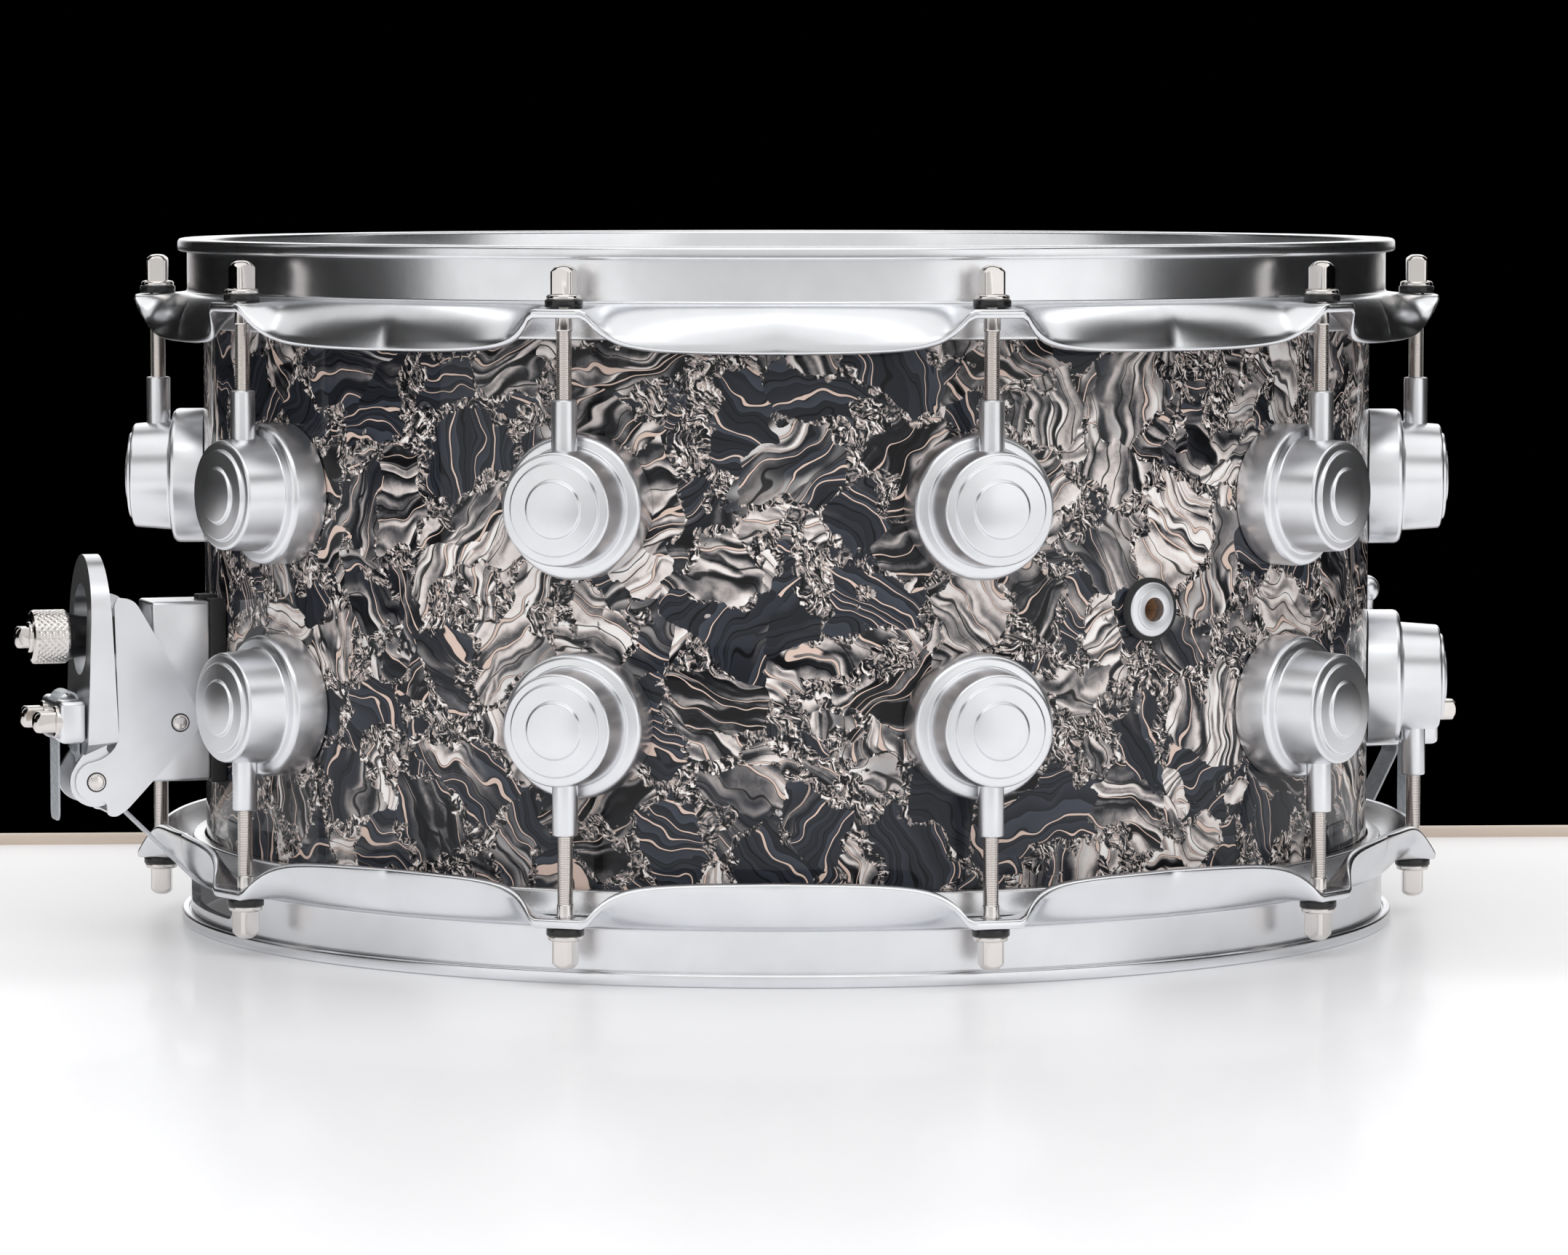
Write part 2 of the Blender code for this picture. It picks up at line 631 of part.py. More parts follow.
def make_throw_off_frame():
    inner = BASE_W / 2 + GAP
    outer = inner + CHEEK_T
    spot = fitting_place(THROW_AZ)
    bm = bmesh.new()
    for low, high in ((-outer, -inner), (inner, outer)):
        one = bmesh.new()
        prism(one, cheek_outline(), low, high, lambda u, w, s: spot(u, w, s))
        join(bm, one)
    frame = finish("throw_off_frame", bm, satin_chrome(), spot(*FRAME_PIN, 0))
    low, high = KNOB_W - WEB_BELOW, KNOB_W + WEB_ABOVE
    web = [(WEB_U, low), (WEB_FRONT, low), (WEB_FRONT, high), (WEB_U, high)]
    foot = GUIDE_TOP - GUIDE_T
    bar = [(GUIDE_U, GUIDE_TOP), (GUIDE_U + GUIDE_L, GUIDE_TOP), (GUIDE_U + 0.9 * GUIDE_L, foot),
           (GUIDE_U + 0.45 * GUIDE_L, foot), (GUIDE_U, GUIDE_TOP - GUIDE_T / 2)]
    for label, outline in (("web", web), ("guide", bar)):
        block = bmesh.new()
        prism(block, outline, -inner - CHEEK_T / 2, inner + CHEEK_T / 2, lambda u, w, s: spot(u, w, s))
        tool = cutter("frame_" + label, block)
        boolean(frame, tool, "UNION")
        applied(frame, [tool])
    radius = hole_radius(SCREW_R)
    ends = WEB_U - WEB_T, WEB_FRONT + WEB_T
    screw_hole = outwards(THROW_AZ, [(0, ends[0]), (radius, ends[0]), (radius, ends[1]), (0, ends[1])],
                          KNOB_W)
    tools = [cutter("frame_screw_hole", screw_hole)]
    for number, (pin, pin_r) in enumerate(((FRAME_PIN, FRAME_PIN_R), (LEVER_PIN, LEVER_PIN_R))):
        tools.append(cutter(f"frame_pin_hole_{number}", across(THROW_AZ, pin, hole_radius(pin_r), 2 * inner)))
    for tool in tools:
        boolean(frame, tool, "DIFFERENCE")
    return applied(frame, tools)


def lever_back(w):
    """U of the lever's back at a height."""
    return WEB_FRONT + LEVER_CLEAR - LEVER_LEAN * (WINDOW_TOP - w)


def lever_front(w):
    """U of its front, which leans the other way, so the lever thickens towards its foot."""
    return WEB_FRONT + LEVER_CLEAR + LEVER_T + LEVER_FLARE * (WINDOW_TOP - w)


def lever_side(foot):
    """(S, W) points round the lever, from the middle of its foot."""
    half = LEVER_HALF_W
    shoulder = LEVER_TOP - LEVER_ROUND
    right = [(half * 0.5, foot), (half * 0.93, foot + 1.5), (half, foot + 5.5),
             (half, (foot + shoulder) / 2), (half, shoulder)]
    right += [(half * c, shoulder + LEVER_ROUND * s) for c, s in arc((0, 0), 1.0, 20, 70, 2)]
    left = [(-s, w) for s, w in reversed(right)]
    return right + [(0.0, LEVER_TOP)] + left + [(0.0, foot)]


def window_side():
    """(S, W) points round the lever's window, one for each of lever_side's points."""
    half, middle = WINDOW_HALF_W, (WINDOW_TOP + WINDOW_FOOT) / 2
    tall = (WINDOW_TOP - WINDOW_FOOT) / 2
    right = []
    for angle in (-75, -62, -45, -20, 15, 35, 55, 75):
        a = math.radians(angle)
        right.append((half * min(1.0, 1.25 * math.cos(a)), middle + tall * math.sin(a)))
    left = [(-s, w) for s, w in reversed(right)]
    return right + [(0.0, WINDOW_TOP)] + left + [(0.0, WINDOW_FOOT)]


def make_lever():
    spot = fitting_place(THROW_AZ)
    back_foot, front_foot = (LEVER_PIN[1] + rise for rise in LEVER_FOOT)
    loops = [[spot(lever_front(w), w, s) for s, w in lever_side(front_foot)],
             [spot(lever_back(w), w, s) for s, w in lever_side(back_foot)],
             [spot(lever_back(w), w, s) for s, w in window_side()],
             [spot(lever_front(w), w, s) for s, w in window_side()]]
    bm = bmesh.new()
    ring_grid(bm, list(zip(*loops)))
    lever = finish("throw_off_lever", bm, satin_chrome(), spot(*LEVER_PIN, 0))

    hub = bmesh.new()
    inner = BASE_W / 2
    top = back_foot + 2.0
    outline = arc(LEVER_PIN, HUB_R, -200, STRAP_LEAVES, 8)
    outline += [(lever_front(back_foot) - 0.5, back_foot - 4.0), (lever_front(top) - 0.5, top),
                (lever_back(top) + 1.0, top)] + around(LEVER_PIN, [(-3.4, 9.6)])
    prism(hub, outline, -inner, inner, lambda u, w, s: spot(u, w, s))
    tongue = cutter("lever_tongue", hub)
    hole = cutter("lever_hole", across(THROW_AZ, LEVER_PIN, hole_radius(LEVER_PIN_R), BASE_W))
    boolean(lever, tongue, "UNION")
    boolean(lever, hole, "DIFFERENCE")
    return applied(lever, [tongue, hole])


def key_head(azimuth, u, w, s, length):
    """A square key head that stands out from U, sunk a little into what carries it."""
    turn = Vector((0, 0, 1)).rotation_difference(radial(azimuth)).to_matrix().to_4x4()
    bm = bmesh.new()
    key_block(bm, KEY_HALF, -1.0, length - KEY_DOME, KEY_DOME)
    bmesh.ops.transform(bm, matrix=Matrix.Translation(fitting_place(azimuth)(u, w, s)) @ turn,
                        verts=bm.verts)
    return bm


def clamp_body(name, azimuth, back, size, middle, slot_u, origin):
    """A clamp block of (depth, height) with a strap channel, a strap slot and two key screws."""
    depth, height = size
    front = back + depth
    spot = fitting_place(azimuth)
    half = STRAP_HALF_W + GAP
    channel = STRAP_T + 2 * GAP
    outline = [(back, CLAMP_HALF_W), (back, half), (back + channel, half), (back + channel, -half),
               (back, -half), (back, -CLAMP_HALF_W), (front - CLAMP_CHAMFER, -CLAMP_HALF_W),
               (front, CLAMP_CHAMFER - CLAMP_HALF_W), (front, CLAMP_HALF_W - CLAMP_CHAMFER),
               (front - CLAMP_CHAMFER, CLAMP_HALF_W)]
    bm = bmesh.new()
    prism(bm, outline, middle - height / 2, middle + height / 2, lambda u, s, w: spot(u, w, s))
    block = finish(name, bm, satin_chrome(), spot(*origin, 0))
    cut = bmesh.new()
    side = channel / 2
    slit = [(slot_u - side, -half), (slot_u + side, -half), (slot_u + side, half), (slot_u - side, half)]
    prism(cut, slit, middle - height, middle + height, lambda u, s, w: spot(u, w, s))
    screws = bmesh.new()
    for s in (-CLAMP_KEY_S, CLAMP_KEY_S):
        join(screws, key_head(azimuth, front, middle, s, CLAMP_KEY_L))
    tools = [cutter(name + "_slot", cut), cutter(name + "_screws", screws)]
    boolean(block, tools[0], "DIFFERENCE")
    boolean(block, tools[1], "UNION")
    return applied(block, tools)


def make_throw_off_clamp():
    clamp_body("throw_off_clamp", THROW_AZ, lever_front(CLAMP_W) + GAP, (CLAMP_D, CLAMP_H), CLAMP_W,
               lever_front(CLAMP_W) + GAP + CLAMP_D - CLAMP_SLOT, LEVER_PIN)


def make_knob():
    neck = WEB_FRONT + GAP
    grip = lever_front(KNOB_W) + KNOB_STAND
    face = grip + KNOB_L
    end = BASE_D - SCREW_IN
    profile = [(0, end), (SCREW_R, end), (SCREW_R, neck), (NECK_R, neck), (NECK_R, grip - NECK_FLARE),
               (KNOB_R, grip), (KNOB_R, face - 0.8), (KNOB_R - 0.8, face), (0, face)]
    knob = finish("tension_knob", outwards(THROW_AZ, profile, KNOB_W, 2 * ROD_FACETS), nickel(),
                  fitting_place(THROW_AZ)(BASE_D, KNOB_W, 0))
    tool = cutter("knob_key", key_head(THROW_AZ, face, KNOB_W, 0, KNOB_KEY_L))
    boolean(knob, tool, "UNION")
    return applied(knob, [tool])


# ---- straps and snare wires -------------------------------------------------------------------------
def strap(name, azimuth, path):
    """A flat strap of even thickness along (U, W) points."""
    spot = fitting_place(azimuth)
    sides = ([], [])
    for i, point in enumerate(path):
        here = Vector(point)
        before = (here - Vector(path[i - 1])).normalized() if i else None
        after = (Vector(path[i + 1]) - here).normalized() if i + 1 < len(path) else None
        along = ((before or after) + (after or before)).normalized()
        across = Vector((-along.y, along.x))
        stretch = 1.0 / max(0.5, along.dot(after or before))
        for points, sign in zip(sides, (1, -1)):
            edge = here + across * sign * stretch * STRAP_T / 2
            points.append((edge.x, edge.y))
    outline = sides[0] + list(reversed(sides[1]))
    bm = bmesh.new()
    prism(bm, outline, -STRAP_HALF_W, STRAP_HALF_W, lambda u, w, s: spot(u, w, s))
    return finish(name, bm, clear_strap())


def looped_over(back_u, slot_u, foot_w, top_w, tail_w):
    """(U, W) points of a strap that goes up behind a clamp, over it and down through its slot."""
    middle = (back_u + slot_u) / 2
    radius = (slot_u - back_u) / 2
    over = arc((middle, top_w + GAP + STRAP_T), radius, 180, 0, 6)
    return [(back_u, foot_w)] + over + [(slot_u, tail_w)]


def make_throw_off_strap():
    """From the wires through the gate, over the guide bar, round the hub and over the clamp."""
    wire_end = WIRE_HALF_L + GAP - SHELL_R
    rim = RIM_R - SHELL_R
    clamp_back = lever_front(CLAMP_W) + GAP
    back_u = clamp_back + GAP + STRAP_T / 2
    steps = 6
    chord = math.cos(math.radians((STRAP_LEAVES - STRAP_MEETS) / steps / 2))
    hub = arc(LEVER_PIN, (HUB_R + GAP + STRAP_T / 2) / chord, STRAP_MEETS, STRAP_LEAVES, steps)
    foot, top = CLAMP_W - CLAMP_H / 2, CLAMP_W + CLAMP_H / 2
    path = [(wire_end, STRAP_RUN_W), (rim - 1.0, STRAP_RUN_W), (rim + 2.0, STRAP_RUN_W + 2.0),
            (GUIDE_U - 1.1, GUIDE_TOP + STRAP_T / 2 + 0.1)]
    path += hub + looped_over(back_u, clamp_back + CLAMP_D - CLAMP_SLOT, foot - 2.0, top, foot - TAIL_L)
    return strap("throw_off_strap", THROW_AZ, path)


def make_butt_strap():
    wire_end = WIRE_HALF_L + GAP - SHELL_R
    rim = RIM_R - SHELL_R
    clamp_back = BUTT_D + GAP
    back_u = clamp_back + GAP + STRAP_T / 2
    foot, top = BUTT_CLAMP_W - BUTT_CLAMP_H / 2, BUTT_CLAMP_W + BUTT_CLAMP_H / 2
    path = [(wire_end, STRAP_RUN_W), (rim - 1.0, STRAP_RUN_W), (rim + 3.0, STRAP_RUN_W + 2.0),
            (rim + SKIRT_W + 1.6, STRAP_RUN_W + 13.0), (back_u, foot - 3.0)]
    path += looped_over(back_u, clamp_back + BUTT_CLAMP_D / 2, foot, top, foot - BUTT_TAIL_L)
    return strap("butt_strap", BUTT_AZ, path)


def make_snare_wires():
    """Twenty wires side by side between two end plates, running from throw-off to butt."""
    out, along = radial(THROW_AZ), sideways(THROW_AZ)
    top, foot = MIDDLE + SNARE_H, MIDDLE + SNARE_H - WIRE_T
    half = WIRE_COUNT * WIRE_PITCH / 2
    bm = bmesh.new()
    plate = [(-WIRE_HALF_L, -half), (WIRE_HALF_L, -half), (WIRE_HALF_L, half), (-WIRE_HALF_L, half)]
    prism(bm, plate, foot, top, lambda a, b, c: out * a + along * b + Vector((0, 0, c)))
    wires = finish("snare_wires", bm, nickel())
    cuts = bmesh.new()
    reach = WIRE_HALF_L - END_PLATE_L
    for i in range(WIRE_COUNT - 1):
        middle = (i + 1) * WIRE_PITCH - half
        side = (WIRE_PITCH - WIRE_T) / 2
        outline = [(-reach, middle - side), (reach, middle - side), (reach, middle + side),
                   (-reach, middle + side)]
        one = bmesh.new()
        prism(one, outline, foot - 1, top + 1, lambda a, b, c: out * a + along * b + Vector((0, 0, c)))
        join(cuts, one)
    tool = cutter("wire_gaps", cuts)
    boolean(wires, tool, "DIFFERENCE")
    return applied(wires, [tool])


# ---- butt plate -------------------------------------------------------------------------------------
def make_butt_base():
    """A block whose outer top edge is rounded off."""
    spot = fitting_place(BUTT_AZ)
    half = BASE_H / 2
    bm = bmesh.new()
    prism(bm, base_outline(BUTT_D, BASE_W / 2), -half, half, lambda u, s, w: spot(u, w, s))
    base = finish("butt_base", bm, satin_chrome())
    centre = (BUTT_D - BUTT_ROUND, half - 2.2 * BUTT_ROUND)
    outline = [(BUTT_D + BUTT_ROUND, centre[1])] + arc(centre, BUTT_ROUND, 0, 90, 4)
    outline += [(centre[0], half + BUTT_ROUND), (BUTT_D + BUTT_ROUND, half + BUTT_ROUND)]
    cut = bmesh.new()
    prism(cut, outline, -BASE_W, BASE_W, lambda u, w, s: spot(u, w, s))
    tool = cutter("butt_shoulder", cut)
    boolean(base, tool, "DIFFERENCE")
    return applied(base, [tool])


def make_butt_clamp():
    clamp_body("butt_clamp", BUTT_AZ, BUTT_D + GAP, (BUTT_CLAMP_D, BUTT_CLAMP_H), BUTT_CLAMP_W,
               BUTT_D + GAP + BUTT_CLAMP_D / 2, (0, 0))


def main():
    for old in list(bpy.data.objects):
        bpy.data.objects.remove(old)
    make_shell()
    make_vent()
    for label, side, gates in (("batter", 1, ()), ("snare", -1, (THROW_AZ, BUTT_AZ))):
        make_head(label + "_head", side)
        make_flesh_hoop(label + "_flesh_hoop", side)
        make_hoop(label + "_hoop", side, gates)
    make_lugs_and_rods()
    make_throw_off_base()
    make_throw_off_frame()
    make_pin("frame_pin", FRAME_PIN, FRAME_PIN_R, FRAME_PIN)
    make_pin("lever_pin", LEVER_PIN, LEVER_PIN_R, FRAME_PIN)
    make_lever()
    make_throw_off_clamp()
    make_knob()
    make_throw_off_strap()
    make_snare_wires()
    make_butt_base()
    make_butt_clamp()
    make_butt_strap()


main()
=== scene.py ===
"""A fourteen by seven inch snare drum, dressed round its solid frame.

The script is laid out as an add-on: each group of pieces has its sizes in a property group and an
operator that makes it, and main() calls them all in order. Shapes are modelled in millimetres on the
drum's axis, at azimuth 0 (-Y), then turned to their place and written in metres.
"""

import json
import math

import bmesh
import bpy
from bpy.props import FloatProperty, FloatVectorProperty, IntProperty, PointerProperty
from bpy.types import Operator, Panel, PropertyGroup
from mathutils import Matrix, Vector


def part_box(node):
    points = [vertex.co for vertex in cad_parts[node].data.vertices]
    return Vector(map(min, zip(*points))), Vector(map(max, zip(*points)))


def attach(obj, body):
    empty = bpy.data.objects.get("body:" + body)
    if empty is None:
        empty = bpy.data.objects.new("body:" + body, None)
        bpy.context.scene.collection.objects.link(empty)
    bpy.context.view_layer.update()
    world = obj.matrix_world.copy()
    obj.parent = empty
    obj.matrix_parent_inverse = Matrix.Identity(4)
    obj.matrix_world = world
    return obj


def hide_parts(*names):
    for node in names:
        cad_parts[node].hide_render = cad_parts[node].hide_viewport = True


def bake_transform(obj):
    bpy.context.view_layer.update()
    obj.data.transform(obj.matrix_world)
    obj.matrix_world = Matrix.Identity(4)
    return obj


bl_info = {
    "name": "Snare Drum",
    "version": (1, 0, 0),
    "blender": (4, 5, 0),
    "location": "3D View > Sidebar > Drum",
    "description": "Makes the visible pieces of a snare drum around its solid frame",
    "category": "Add Mesh",
}

MM = 0.001
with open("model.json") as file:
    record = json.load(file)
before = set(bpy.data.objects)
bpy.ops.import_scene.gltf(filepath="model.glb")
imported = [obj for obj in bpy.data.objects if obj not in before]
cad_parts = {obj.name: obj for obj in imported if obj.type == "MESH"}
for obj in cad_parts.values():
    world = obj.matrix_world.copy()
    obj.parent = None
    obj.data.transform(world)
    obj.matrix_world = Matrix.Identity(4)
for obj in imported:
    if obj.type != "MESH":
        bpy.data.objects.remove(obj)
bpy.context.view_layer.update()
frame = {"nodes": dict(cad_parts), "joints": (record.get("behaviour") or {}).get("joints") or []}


# ---- measures taken from the frame ------------------------------------------------------------------
def reach(node):
    """How far a solid reaches from the drum's axis, in millimetres."""
    return max(math.hypot(v.co.x, v.co.y) for v in frame["nodes"][node].data.vertices) / MM


def levels(node):
    """Lowest and highest point of a solid, in millimetres."""
    low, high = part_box(node)
    return low.z / MM, high.z / MM


def azimuth_of(spot):
    """Degrees round the axis from -Y towards +X."""
    return math.degrees(math.atan2(spot[0], -spot[1]))


def joint(name):
    return next(j for j in frame["joints"] if j["name"] == name)


SHELL_R = reach("shell")
MIDDLE = (levels("snare_hoop")[0] + levels("batter_hoop")[1]) / 2
SHELL_HALF = (levels("shell")[1] - levels("shell")[0]) / 2
HEAD_H = levels("batter_head")[1] - MIDDLE
RIM_H = levels("batter_hoop")[1] - MIDDLE
FLESH_LOW, FLESH_HIGH = (level - MIDDLE for level in levels("batter_flesh_hoop"))
FLESH_R = reach("batter_flesh_hoop")
LUG_BASE_R = 20.5
LUG_H = levels("batter_lug_01")[0] - MIDDLE + LUG_BASE_R     # centre of a lug's base
ROD_SPOTS = [joint(f"batter_rod_{n:02d}_turn")["pos_m"] for n in range(1, 11)]
ROD_AXIS_R = math.hypot(ROD_SPOTS[0][0], ROD_SPOTS[0][1]) / MM
AZIMUTHS = [azimuth_of(spot) for spot in ROD_SPOTS]
SIDES = ("batter", 1), ("snare", -1)
RIM_WALL_R = 182.0
THROW_AZ = azimuth_of(joint("knob_turn")["axis"])
BUTT_AZ = THROW_AZ + 180.0


# ---- sizes and colours that a user may change -------------------------------------------------------
def length(name, description, millimetres):
    return FloatProperty(name=name, description=description, default=millimetres * MM, unit="LENGTH")


def colour(name, description, red, green, blue):
    return FloatVectorProperty(name=name, description=description, default=(red, green, blue), size=3,
                               min=0.0, max=1.0, subtype="COLOR")


class Millimetres:
    """Reads a property group: its lengths in millimetres, its counts as they are."""

    def __init__(self, group):
        self.group = group

    def __getattr__(self, name):
        value = getattr(self.group, name)
        return value if isinstance(value, int) else value / MM


class ShellSizes(PropertyGroup):
    facets: IntProperty(name="Facets", description="Segments round the shell", default=256, min=64)
    wall: length("Wall", "Thickness of the wooden shell", 8.0)
    edge_in: length("Edge in", "Peak of the bearing edge, in from the outside", 2.4)
    vent_bore: length("Vent bore", "Radius of the air vent's hole", 3.4)
    vent_face: length("Vent face", "Radius of the vent's metal face", 7.8)
    vent_seal: length("Vent seal", "Radius of the rubber ring behind the vent", 9.0)
    vent_proud: length("Vent proud", "How far the vent stands out from the shell", 3.6)


class HeadSizes(PropertyGroup):
    film: length("Film", "Thickness of a drum head", 0.4)
    hoop_width: length("Flesh hoop width", "Width of the metal hoop that holds a head", 3.8)


class HoopSizes(PropertyGroup):
    steps: IntProperty(name="Steps", description="Segments round a hoop", default=720, min=180)
    steel: length("Steel", "Thickness of the pressed sheet", 2.6)
    wall_out: length("Wall", "Outer radius of the rim's upright wall", RIM_WALL_R)
    lip_out: length("Lip out", "How far the rolled lip stands out from the wall", 2.8)
    lip_tall: length("Lip height", "Height of the rolled lip", 3.8)
    skirt_out: length("Skirt out", "Skirt's edge outside the wall, between two ears", 7.0)
    skirt_drop: length("Skirt drop", "Shoulder down to that edge", 12.8)
    ear_reach: length("Ear reach", "Ear's edge outside the wall", 16.0)
    ear_hole: length("Ear hole", "Radius of the hole for a tension rod", 3.1)


class LugSizes(PropertyGroup):
    facets: IntProperty(name="Facets", description="Segments round a lug", default=64, min=16)
    base: length("Base", "Radius of the lug's base", LUG_BASE_R)
    barrel: length("Barrel", "Radius of the barrel at its root", 16.5)
    cap: length("Cap", "Radius of the barrel at its cap", 15.8)
    step: length("Step", "Radius of the raised ring on the cap", 13.0)
    boss: length("Boss", "Radius of the disc in the middle of the cap", 7.9)
    sleeve: length("Sleeve", "Radius of the sleeve that takes the rod", 3.6)
    sleeve_end: length("Sleeve end", "Lug's centre to the end of its sleeve", 30.1)


class RodSizes(PropertyGroup):
    shaft: length("Shaft", "Radius of a tension rod over its thread", 2.3)
    pitch: length("Pitch", "Pitch of its thread", 0.5)
    washer: length("Washer", "Radius of the black washer", 5.35)
    flange: length("Flange", "Radius of the flange under the key head", 4.9)
    key: length("Key", "Square key head across its flats", 6.2)


class FittingSizes(PropertyGroup):
    width: length("Width", "Width of the bases along the shell", 20.4)
    height: length("Height", "Height of the bases", 53.3)
    cheek: length("Cheek", "Thickness of the throw-off's cheeks", 1.5)
    lever_half: length("Lever half", "Half the lever's width", 17.0)
    knob: length("Knob", "Radius of the tension knob", 8.0)
    clamp_half: length("Clamp half", "Half the width of a strap clamp", 14.8)
    strap_half: length("Strap half", "Half the width of a strap", 6.0)
    strap: length("Strap", "Thickness of a strap", 0.6)


class SnareSizes(PropertyGroup):
    strands: IntProperty(name="Strands", description="Snare wires side by side", default=20, min=2)
    spacing: length("Spacing", "Distance between two strands", 2.2)
    coil: length("Coil", "Radius to the middle of a strand's wire", 0.24)
    wire: length("Wire", "Radius of the wire itself", 0.15)
    pitch: length("Pitch", "Length of one turn of a strand", 1.9)


class Colours(PropertyGroup):
    charcoal: colour("Charcoal", "Dark ground of the shell's wrap", 0.014, 0.016, 0.021)
    rose: colour("Rose", "Pale lines and flakes of the wrap", 0.56, 0.43, 0.37)
    chrome: colour("Chrome", "Hoops, lugs and fittings", 0.865, 0.874, 0.895)
    nickel: colour("Nickel", "Tension rods and screws", 0.80, 0.76, 0.73)
    aluminium: colour("Aluminium", "Flesh hoops", 0.80, 0.80, 0.81)
    maple: colour("Maple", "Inside of the shell", 0.47, 0.27, 0.15)
    rubber: colour("Rubber", "Seals, gaskets and washers", 0.012, 0.012, 0.013)
    coating: colour("Coating", "Coated batter head", 0.84, 0.84, 0.82)
    beech: colour("Beech", "Edge strip of the table", 0.62, 0.52, 0.44)


# ---- finishes ---------------------------------------------------------------------------------------
class Value:
    """A number that varies over a surface; arithmetic on it adds the Math nodes."""

    def __init__(self, finish, socket):
        self.finish, self.socket = finish, socket

    def __add__(self, other):
        return self.finish.maths("ADD", self, other)

    def __sub__(self, other):
        return self.finish.maths("SUBTRACT", self, other)

    def __mul__(self, other):
        return self.finish.maths("MULTIPLY", self, other)

    __radd__ = __add__
    __rmul__ = __mul__


class Finish:
    """The nodes of one material, built round its Principled shader."""

    def __init__(self, name, base, roughness, metallic=0.0, **constants):
        self.material = bpy.data.materials.new(name)
        self.material.use_nodes = True
        self.tree = self.material.node_tree
        self.shader = self.tree.nodes["Principled BSDF"]
        self.set("Base Color", (*base, 1.0))
        self.set("Roughness", roughness)
        self.set("Metallic", metallic)
        for socket, value in constants.items():
            self.set(socket.replace("_", " "), value)

    def set(self, socket, value):
        self.join(self.shader.inputs[socket], value)

    def join(self, socket, value):
        if isinstance(value, Value):
            self.tree.links.new(value.socket, socket)
        else:
            socket.default_value = value

    def node(self, kind, settings=(), output=0, **sockets):
        """Adds a node: its settings first, then values or links for its sockets, by name or place."""
        made = self.tree.nodes.new("ShaderNode" + kind)
        for key, value in dict(settings).items():
            setattr(made, key, value)
        for key, value in sockets.items():
            name = int(key[1:]) if key[0] == "_" else key.replace("_", " ")
            self.join(made.inputs[name], value)
        return Value(self, made.outputs[output])

    def maths(self, operation, *values, kind="Math", **settings):
        """A Math or VectorMath node, whose sockets take the values in order."""
        places = {f"_{i}": value for i, value in enumerate(values)}
        return self.node(kind, {"operation": operation, **settings}, **places)

    def ramp(self, value, *stops):
        """A colour that blends from one (position, colour) stop to the next."""
        made = self.node("ValToRGB", Fac=value)
        elements = made.socket.node.color_ramp.elements
        while len(elements) < len(stops):
            elements.new(0.5)
        for element, (position, shade) in zip(elements, stops):
            element.position = position
            element.color = (*shade, 1.0)
        return made

    def place(self):
        return self.node("TexCoord", output=3)

    def noise(self, where, scale, detail, roughness=0.5, distortion=0.0, output=0):
        return self.node("TexNoise", output=output, Vector=where, Scale=scale, Detail=detail,
                         Roughness=roughness, Distortion=distortion)

    def step(self, value, low, high):
        """0 under low and 1 over high, or the other way round, with a soft change between."""
        return self.node("MapRange", {"interpolation_type": "SMOOTHSTEP"}, Value=value, _1=low, _2=high)

    def mix(self, share, first, second):
        """First colour turning into the second as the share goes to 1."""
        return self.node("Mix", {"data_type": "RGBA"}, 2, _0=share, _6=first, _7=second)

    def bump(self, height, strength, distance):
        """Relief on the surface, its distance in millimetres."""
        self.set("Normal", self.node("Bump", Height=height, Strength=strength, Distance=distance * MM))
        return self


def shades(name):
    return tuple(getattr(bpy.context.scene.drum_colours, name))


def rgba(name, factor=1.0):
    return (*(min(1.0, part * factor) for part in shades(name)), 1.0)


MADE = {}


def finish_of(name):
    """The material of that name, made once."""
    if name not in MADE:
        MADE[name] = FINISHES[name]().material
    return MADE[name]


def plated(name, base, roughness, spread):
    """Plated metal with faint wiping marks and slight waviness."""
    made = Finish(name, shades(base), roughness, 1.0)
    smudge = made.noise(made.place(), 45.0, 4.0, 0.6)
    grain = made.noise(made.place(), 900.0, 2.0)
    made.set("Roughness", roughness + spread * (smudge - 0.5) + spread * 0.4 * (grain - 0.5))
    made.set("Base Color", made.mix(made.step(smudge, 0.35, 0.75), rgba(base), rgba(base, 0.93)))
    return made.bump(made.noise(made.place(), 160.0, 2.0), 0.05, 0.3)


def black(name, roughness, lowest, spread, scale, detail, strength):
    """Black rubber or nylon, whose grain changes its gloss."""
    made = Finish(name, shades("rubber"), roughness)
    grain = made.noise(made.place(), scale, detail)
    made.set("Roughness", lowest + spread * grain)
    return made.bump(grain, strength, 0.1)


def coated_film():
    """White coating sprayed on the batter head."""
    made = Finish("coated_film", shades("coating"), 0.6)
    grain = made.noise(made.place(), 2600.0, 3.0, 0.6)
    cloud = made.noise(made.place(), 18.0, 4.0, 0.6)
    made.set("Base Color", made.mix(made.step(cloud, 0.3, 0.75), rgba("coating"), rgba("coating", 0.94)))
    made.set("Roughness", 0.5 + 0.2 * grain)
    return made.bump(grain, 0.35, 0.12)


def clear_film():
    """Thin hazy film of the snare-side head."""
    made = Finish("clear_film", (0.80, 0.82, 0.84), 0.12, Specular_IOR_Level=0.5)
    haze = made.noise(made.place(), 60.0, 4.0)
    made.set("Alpha", 0.22 + 0.1 * haze)
    made.set("Roughness", 0.08 + 0.12 * haze)
    return made.bump(made.noise(made.place(), 30.0, 1.0), 0.03, 1.0)


